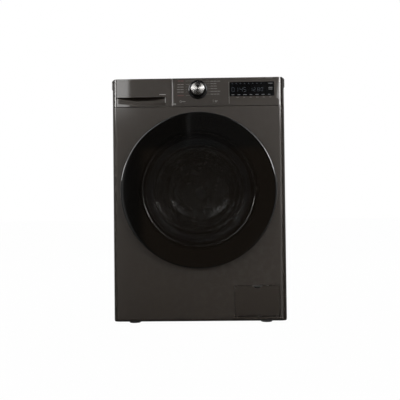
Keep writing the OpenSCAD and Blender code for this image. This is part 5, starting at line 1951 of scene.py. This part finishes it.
# ---- studio ----
@dataclass
class Studio:
    """The floor, the soft lights, the surroundings that the gloss reflects and the camera."""

    eye: tuple[float, float, float] = (0.053, -2.4655, 0.385)
    yaw: float = 1.3
    pitch: float = 1.08
    roll: float = -0.65
    field_of_view: float = 34.79

    def build(self) -> None:
        """Sets up everything round the machine."""
        bpy.context.scene.view_settings.view_transform = "Standard"
        self.floor()
        self.surroundings()
        self.lamps()
        self.camera()

    def floor(self) -> None:
        """A wide pale floor that takes a soft shadow."""
        plane = Piece("studio_floor")
        bmesh.ops.create_grid(plane.bm, x_segments=1, y_segments=1, size=30)
        obj = plane.done(even=False)
        mat = bpy.data.materials.new("studio_floor")
        mat.use_nodes = True
        tree = mat.node_tree
        shader = tree.nodes["Principled BSDF"]
        shader.inputs["Base Color"].default_value = (0.9, 0.9, 0.9, 1)
        shader.inputs["Roughness"].default_value = 0.9
        shine = tree.nodes.new("ShaderNodeEmission")
        mix = tree.nodes.new("ShaderNodeMixShader")
        path = tree.nodes.new("ShaderNodeLightPath")
        share = FinishShop._math(tree, "MULTIPLY", path.outputs["Is Camera Ray"], 0.985)
        tree.links.new(share, mix.inputs[0])
        tree.links.new(shader.outputs[0], mix.inputs[1])
        tree.links.new(shine.outputs[0], mix.inputs[2])
        tree.links.new(mix.outputs[0], tree.nodes["Material Output"].inputs["Surface"])
        obj.data.materials.append(mat)
        obj.visible_glossy = False

    @staticmethod
    def _step(tree: bpy.types.NodeTree, value: object, at: float, soft: float) -> object:
        """Rises from 0 to 1 round a value, over twice a softness."""
        node = tree.nodes.new("ShaderNodeMapRange")
        node.interpolation_type = "SMOOTHSTEP"
        tree.links.new(value, node.inputs["Value"])
        node.inputs["From Min"].default_value = at - soft
        node.inputs["From Max"].default_value = at + soft
        return node.outputs["Result"]

    def _patch(
        self, tree: bpy.types.NodeTree, angles: tuple[object, object], across: Pair, up: Pair, soft: Pair,
        light: float
    ) -> object:
        """A patch of light between two bearings and two heights, in degrees.

        Args:
            tree: the world's tree.
            angles: the bearing and the height of a direction.
            across: the bearings of its sides.
            up: the heights of its bottom and top.
            soft: how soft its sides and its ends are.
            light: its strength.

        Returns:
            The patch's strength in a direction.
        """
        bearing, height = angles
        made = None
        for value, limits, edge in ((bearing, across, soft[0]), (height, up, soft[1])):
            rise = self._step(tree, value, limits[0], edge)
            fall = FinishShop._math(tree, "SUBTRACT", 1.0, self._step(tree, value, limits[1], edge))
            both = FinishShop._math(tree, "MULTIPLY", rise, fall)
            made = both if made is None else FinishShop._math(tree, "MULTIPLY", made, both)
        return FinishShop._math(tree, "MULTIPLY", made, light)

    def _sum(self, tree: bpy.types.NodeTree, angles: tuple[object, object], patches: list[tuple]) -> object:
        """Adds patches of light up."""
        total = None
        for across, up, soft, light in patches:
            made = self._patch(tree, angles, across, up, soft, light)
            total = made if total is None else FinishShop._math(tree, "ADD", total, made)
        return total

    def surroundings(self) -> None:
        """White to the camera; to everything else a studio with a soft box on either side of the front."""
        world = bpy.data.worlds.new("studio")
        bpy.context.scene.world = world
        world.use_nodes = True
        tree = world.node_tree
        ground = tree.nodes["Background"]
        place = tree.nodes.new("ShaderNodeTexCoord")
        parts = tree.nodes.new("ShaderNodeSeparateXYZ")
        tree.links.new(place.outputs["Generated"], parts.inputs[0])
        math_of = FinishShop._math
        facing = math_of(tree, "MULTIPLY", parts.outputs["Y"], -1.0)
        bearing = math_of(tree, "DEGREES", math_of(tree, "ARCTAN2", parts.outputs["X"], facing))
        height = math_of(tree, "DEGREES", math_of(tree, "ARCSINE", parts.outputs["Z"]))
        angles = (bearing, height)
        gloss = self._sum(
            tree, angles,
            [
                ((-200.0, 200.0), (-91.0, 91.0), (1.0, 1.0), 0.012),
                ((-2.1, 8.0), (5.7, 40.0), (0.15, 0.4), 0.02),
                ((-2.4, -2.1), (5.7, 18.0), (0.1, 0.4), 0.1),
                ((-200.0, 200.0), (50.0, 91.0), (1.0, 12.0), 0.25),
                ((-36.0, -7.6), (9.0, 22.0), (0.15, 0.6), 5.2),
                ((7.4, 38.0), (9.0, 22.0), (0.5, 0.6), 4.6),
                ((-68.0, -50.0), (8.5, 20.0), (1.0, 0.6), 14.0),
                ((24.0, 40.0), (8.5, 20.0), (1.0, 0.6), 16.0),
                ((-181.0, -112.0), (-91.0, 91.0), (8.0, 8.0), 0.3),
                ((112.0, 181.0), (-91.0, 91.0), (8.0, 8.0), 0.3),
                ((-34.0, -9.0), (-14.0, 9.0), (1.5, 5.0), 0.35),
                ((8.0, 38.0), (-16.0, 9.0), (1.0, 5.0), 0.6),
                ((-150.0, -75.0), (0.0, 60.0), (8.0, 6.0), 0.2),
                ((75.0, 150.0), (0.0, 60.0), (8.0, 6.0), 0.3),
            ],
        )
        spread = self._sum(
            tree, angles,
            [
                ((-200.0, 200.0), (-91.0, 91.0), (1.0, 1.0), 0.2),
                ((-200.0, 200.0), (10.0, 91.0), (1.0, 14.0), 0.22),
            ],
        )
        path = tree.nodes.new("ShaderNodeLightPath")
        seen, mirrored = path.outputs["Is Camera Ray"], path.outputs["Is Glossy Ray"]
        other = math_of(tree, "SUBTRACT", math_of(tree, "SUBTRACT", 1.0, seen), mirrored, clamp=True)
        strength = math_of(tree, "ADD", seen, math_of(tree, "MULTIPLY", gloss, mirrored))
        strength = math_of(tree, "ADD", strength, math_of(tree, "MULTIPLY", spread, other))
        warm = self._patch(tree, angles, (-6.5, 6.5), (-9.0, 5.7), (0.5, 0.3), 0.05)
        warm = math_of(tree, "MULTIPLY", warm, mirrored)
        colour = tree.nodes.new("ShaderNodeCombineXYZ")
        for channel, share in zip("XYZ", (1.0, 0.68, 0.42)):
            tinted = math_of(tree, "ADD", strength, math_of(tree, "MULTIPLY", warm, share))
            tree.links.new(tinted, colour.inputs[channel])
        tree.links.new(colour.outputs[0], ground.inputs["Color"])
        ground.inputs["Strength"].default_value = 1.0

    def lamp(
        self, name: str, place: Sequence[float], target: Sequence[float], size: Pair, watts: float
    ) -> None:
        """Adds a soft box that no reflection shows.

        Args:
            name: its name.
            place: where it stands.
            target: what it points at.
            size: its width and height.
            watts: its power.
        """
        data = bpy.data.lights.new(name, "AREA")
        data.shape = "RECTANGLE"
        data.size, data.size_y = size
        data.energy = watts
        lamp = bpy.data.objects.new(name, data)
        lamp.location = place
        lamp.rotation_euler = (Vector(target) - Vector(place)).to_track_quat("-Z", "Y").to_euler()
        lamp.visible_glossy = False
        bpy.context.scene.collection.objects.link(lamp)

    def lamps(self) -> None:
        """The lights over and round the machine."""
        self.lamp("over_front", (0.5, -2.8, 2.2), (0, -0.1, 0.45), (2.4, 1.6), 12)
        self.lamp("left_side", (-2.6, 0.4, 1.8), (0, 0, 0.4), (1.6, 1.6), 11)
        self.lamp("right_side", (2.6, 0.4, 1.8), (0, 0, 0.4), (1.6, 1.6), 11)
        self.lamp("behind", (0.6, 2.8, 2.2), (0, 0, 0.4), (2.0, 1.6), 14)

    def camera(self) -> None:
        """The camera, a little right of the middle, below half height and almost level."""
        data = bpy.data.cameras.new("camera")
        data.angle = math.radians(self.field_of_view)
        camera = bpy.data.objects.new("camera", data)
        yaw, pitch, roll = (math.radians(a) for a in (self.yaw, self.pitch, self.roll))
        ahead = Vector((-math.sin(yaw) * math.cos(pitch), math.cos(yaw) * math.cos(pitch), math.sin(pitch)))
        level = Vector((math.cos(yaw), math.sin(yaw), 0))
        over = level.cross(ahead)
        right = level * math.cos(roll) + over * math.sin(roll)
        up = over * math.cos(roll) - level * math.sin(roll)
        turned = Matrix((right, up, -ahead)).transposed().to_4x4()
        camera.matrix_world = Matrix.Translation(Vector(self.eye)) @ turned
        bpy.context.scene.collection.objects.link(camera)
        bpy.context.scene.camera = camera


def corners(bounds: Sequence[Sequence[float]]) -> list[list[float]]:
    """Bounds as plain lists of numbers."""
    return [[float(v) for v in corner] for corner in bounds]


def main() -> None:
    """Builds the machine round its frame, then the studio."""
    logging.basicConfig(level=logging.INFO, format="%(name)s: %(message)s", stream=sys.stdout)
    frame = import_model()
    work = Workshop(frame, FinishShop())
    work.dress_frame()
    shell = CabinetShell(work)
    for assembly in (
        shell, ControlPanel(work), Dial(work), Drawer(work), Door(work), SoftParts(work), Drum(work),
        Service(work),
        BackFittings(work, shell),
    ):
        log.info("building %s", type(assembly).__name__)
        assembly.build()
    Studio().build()


if __name__ == "__main__":
    main()
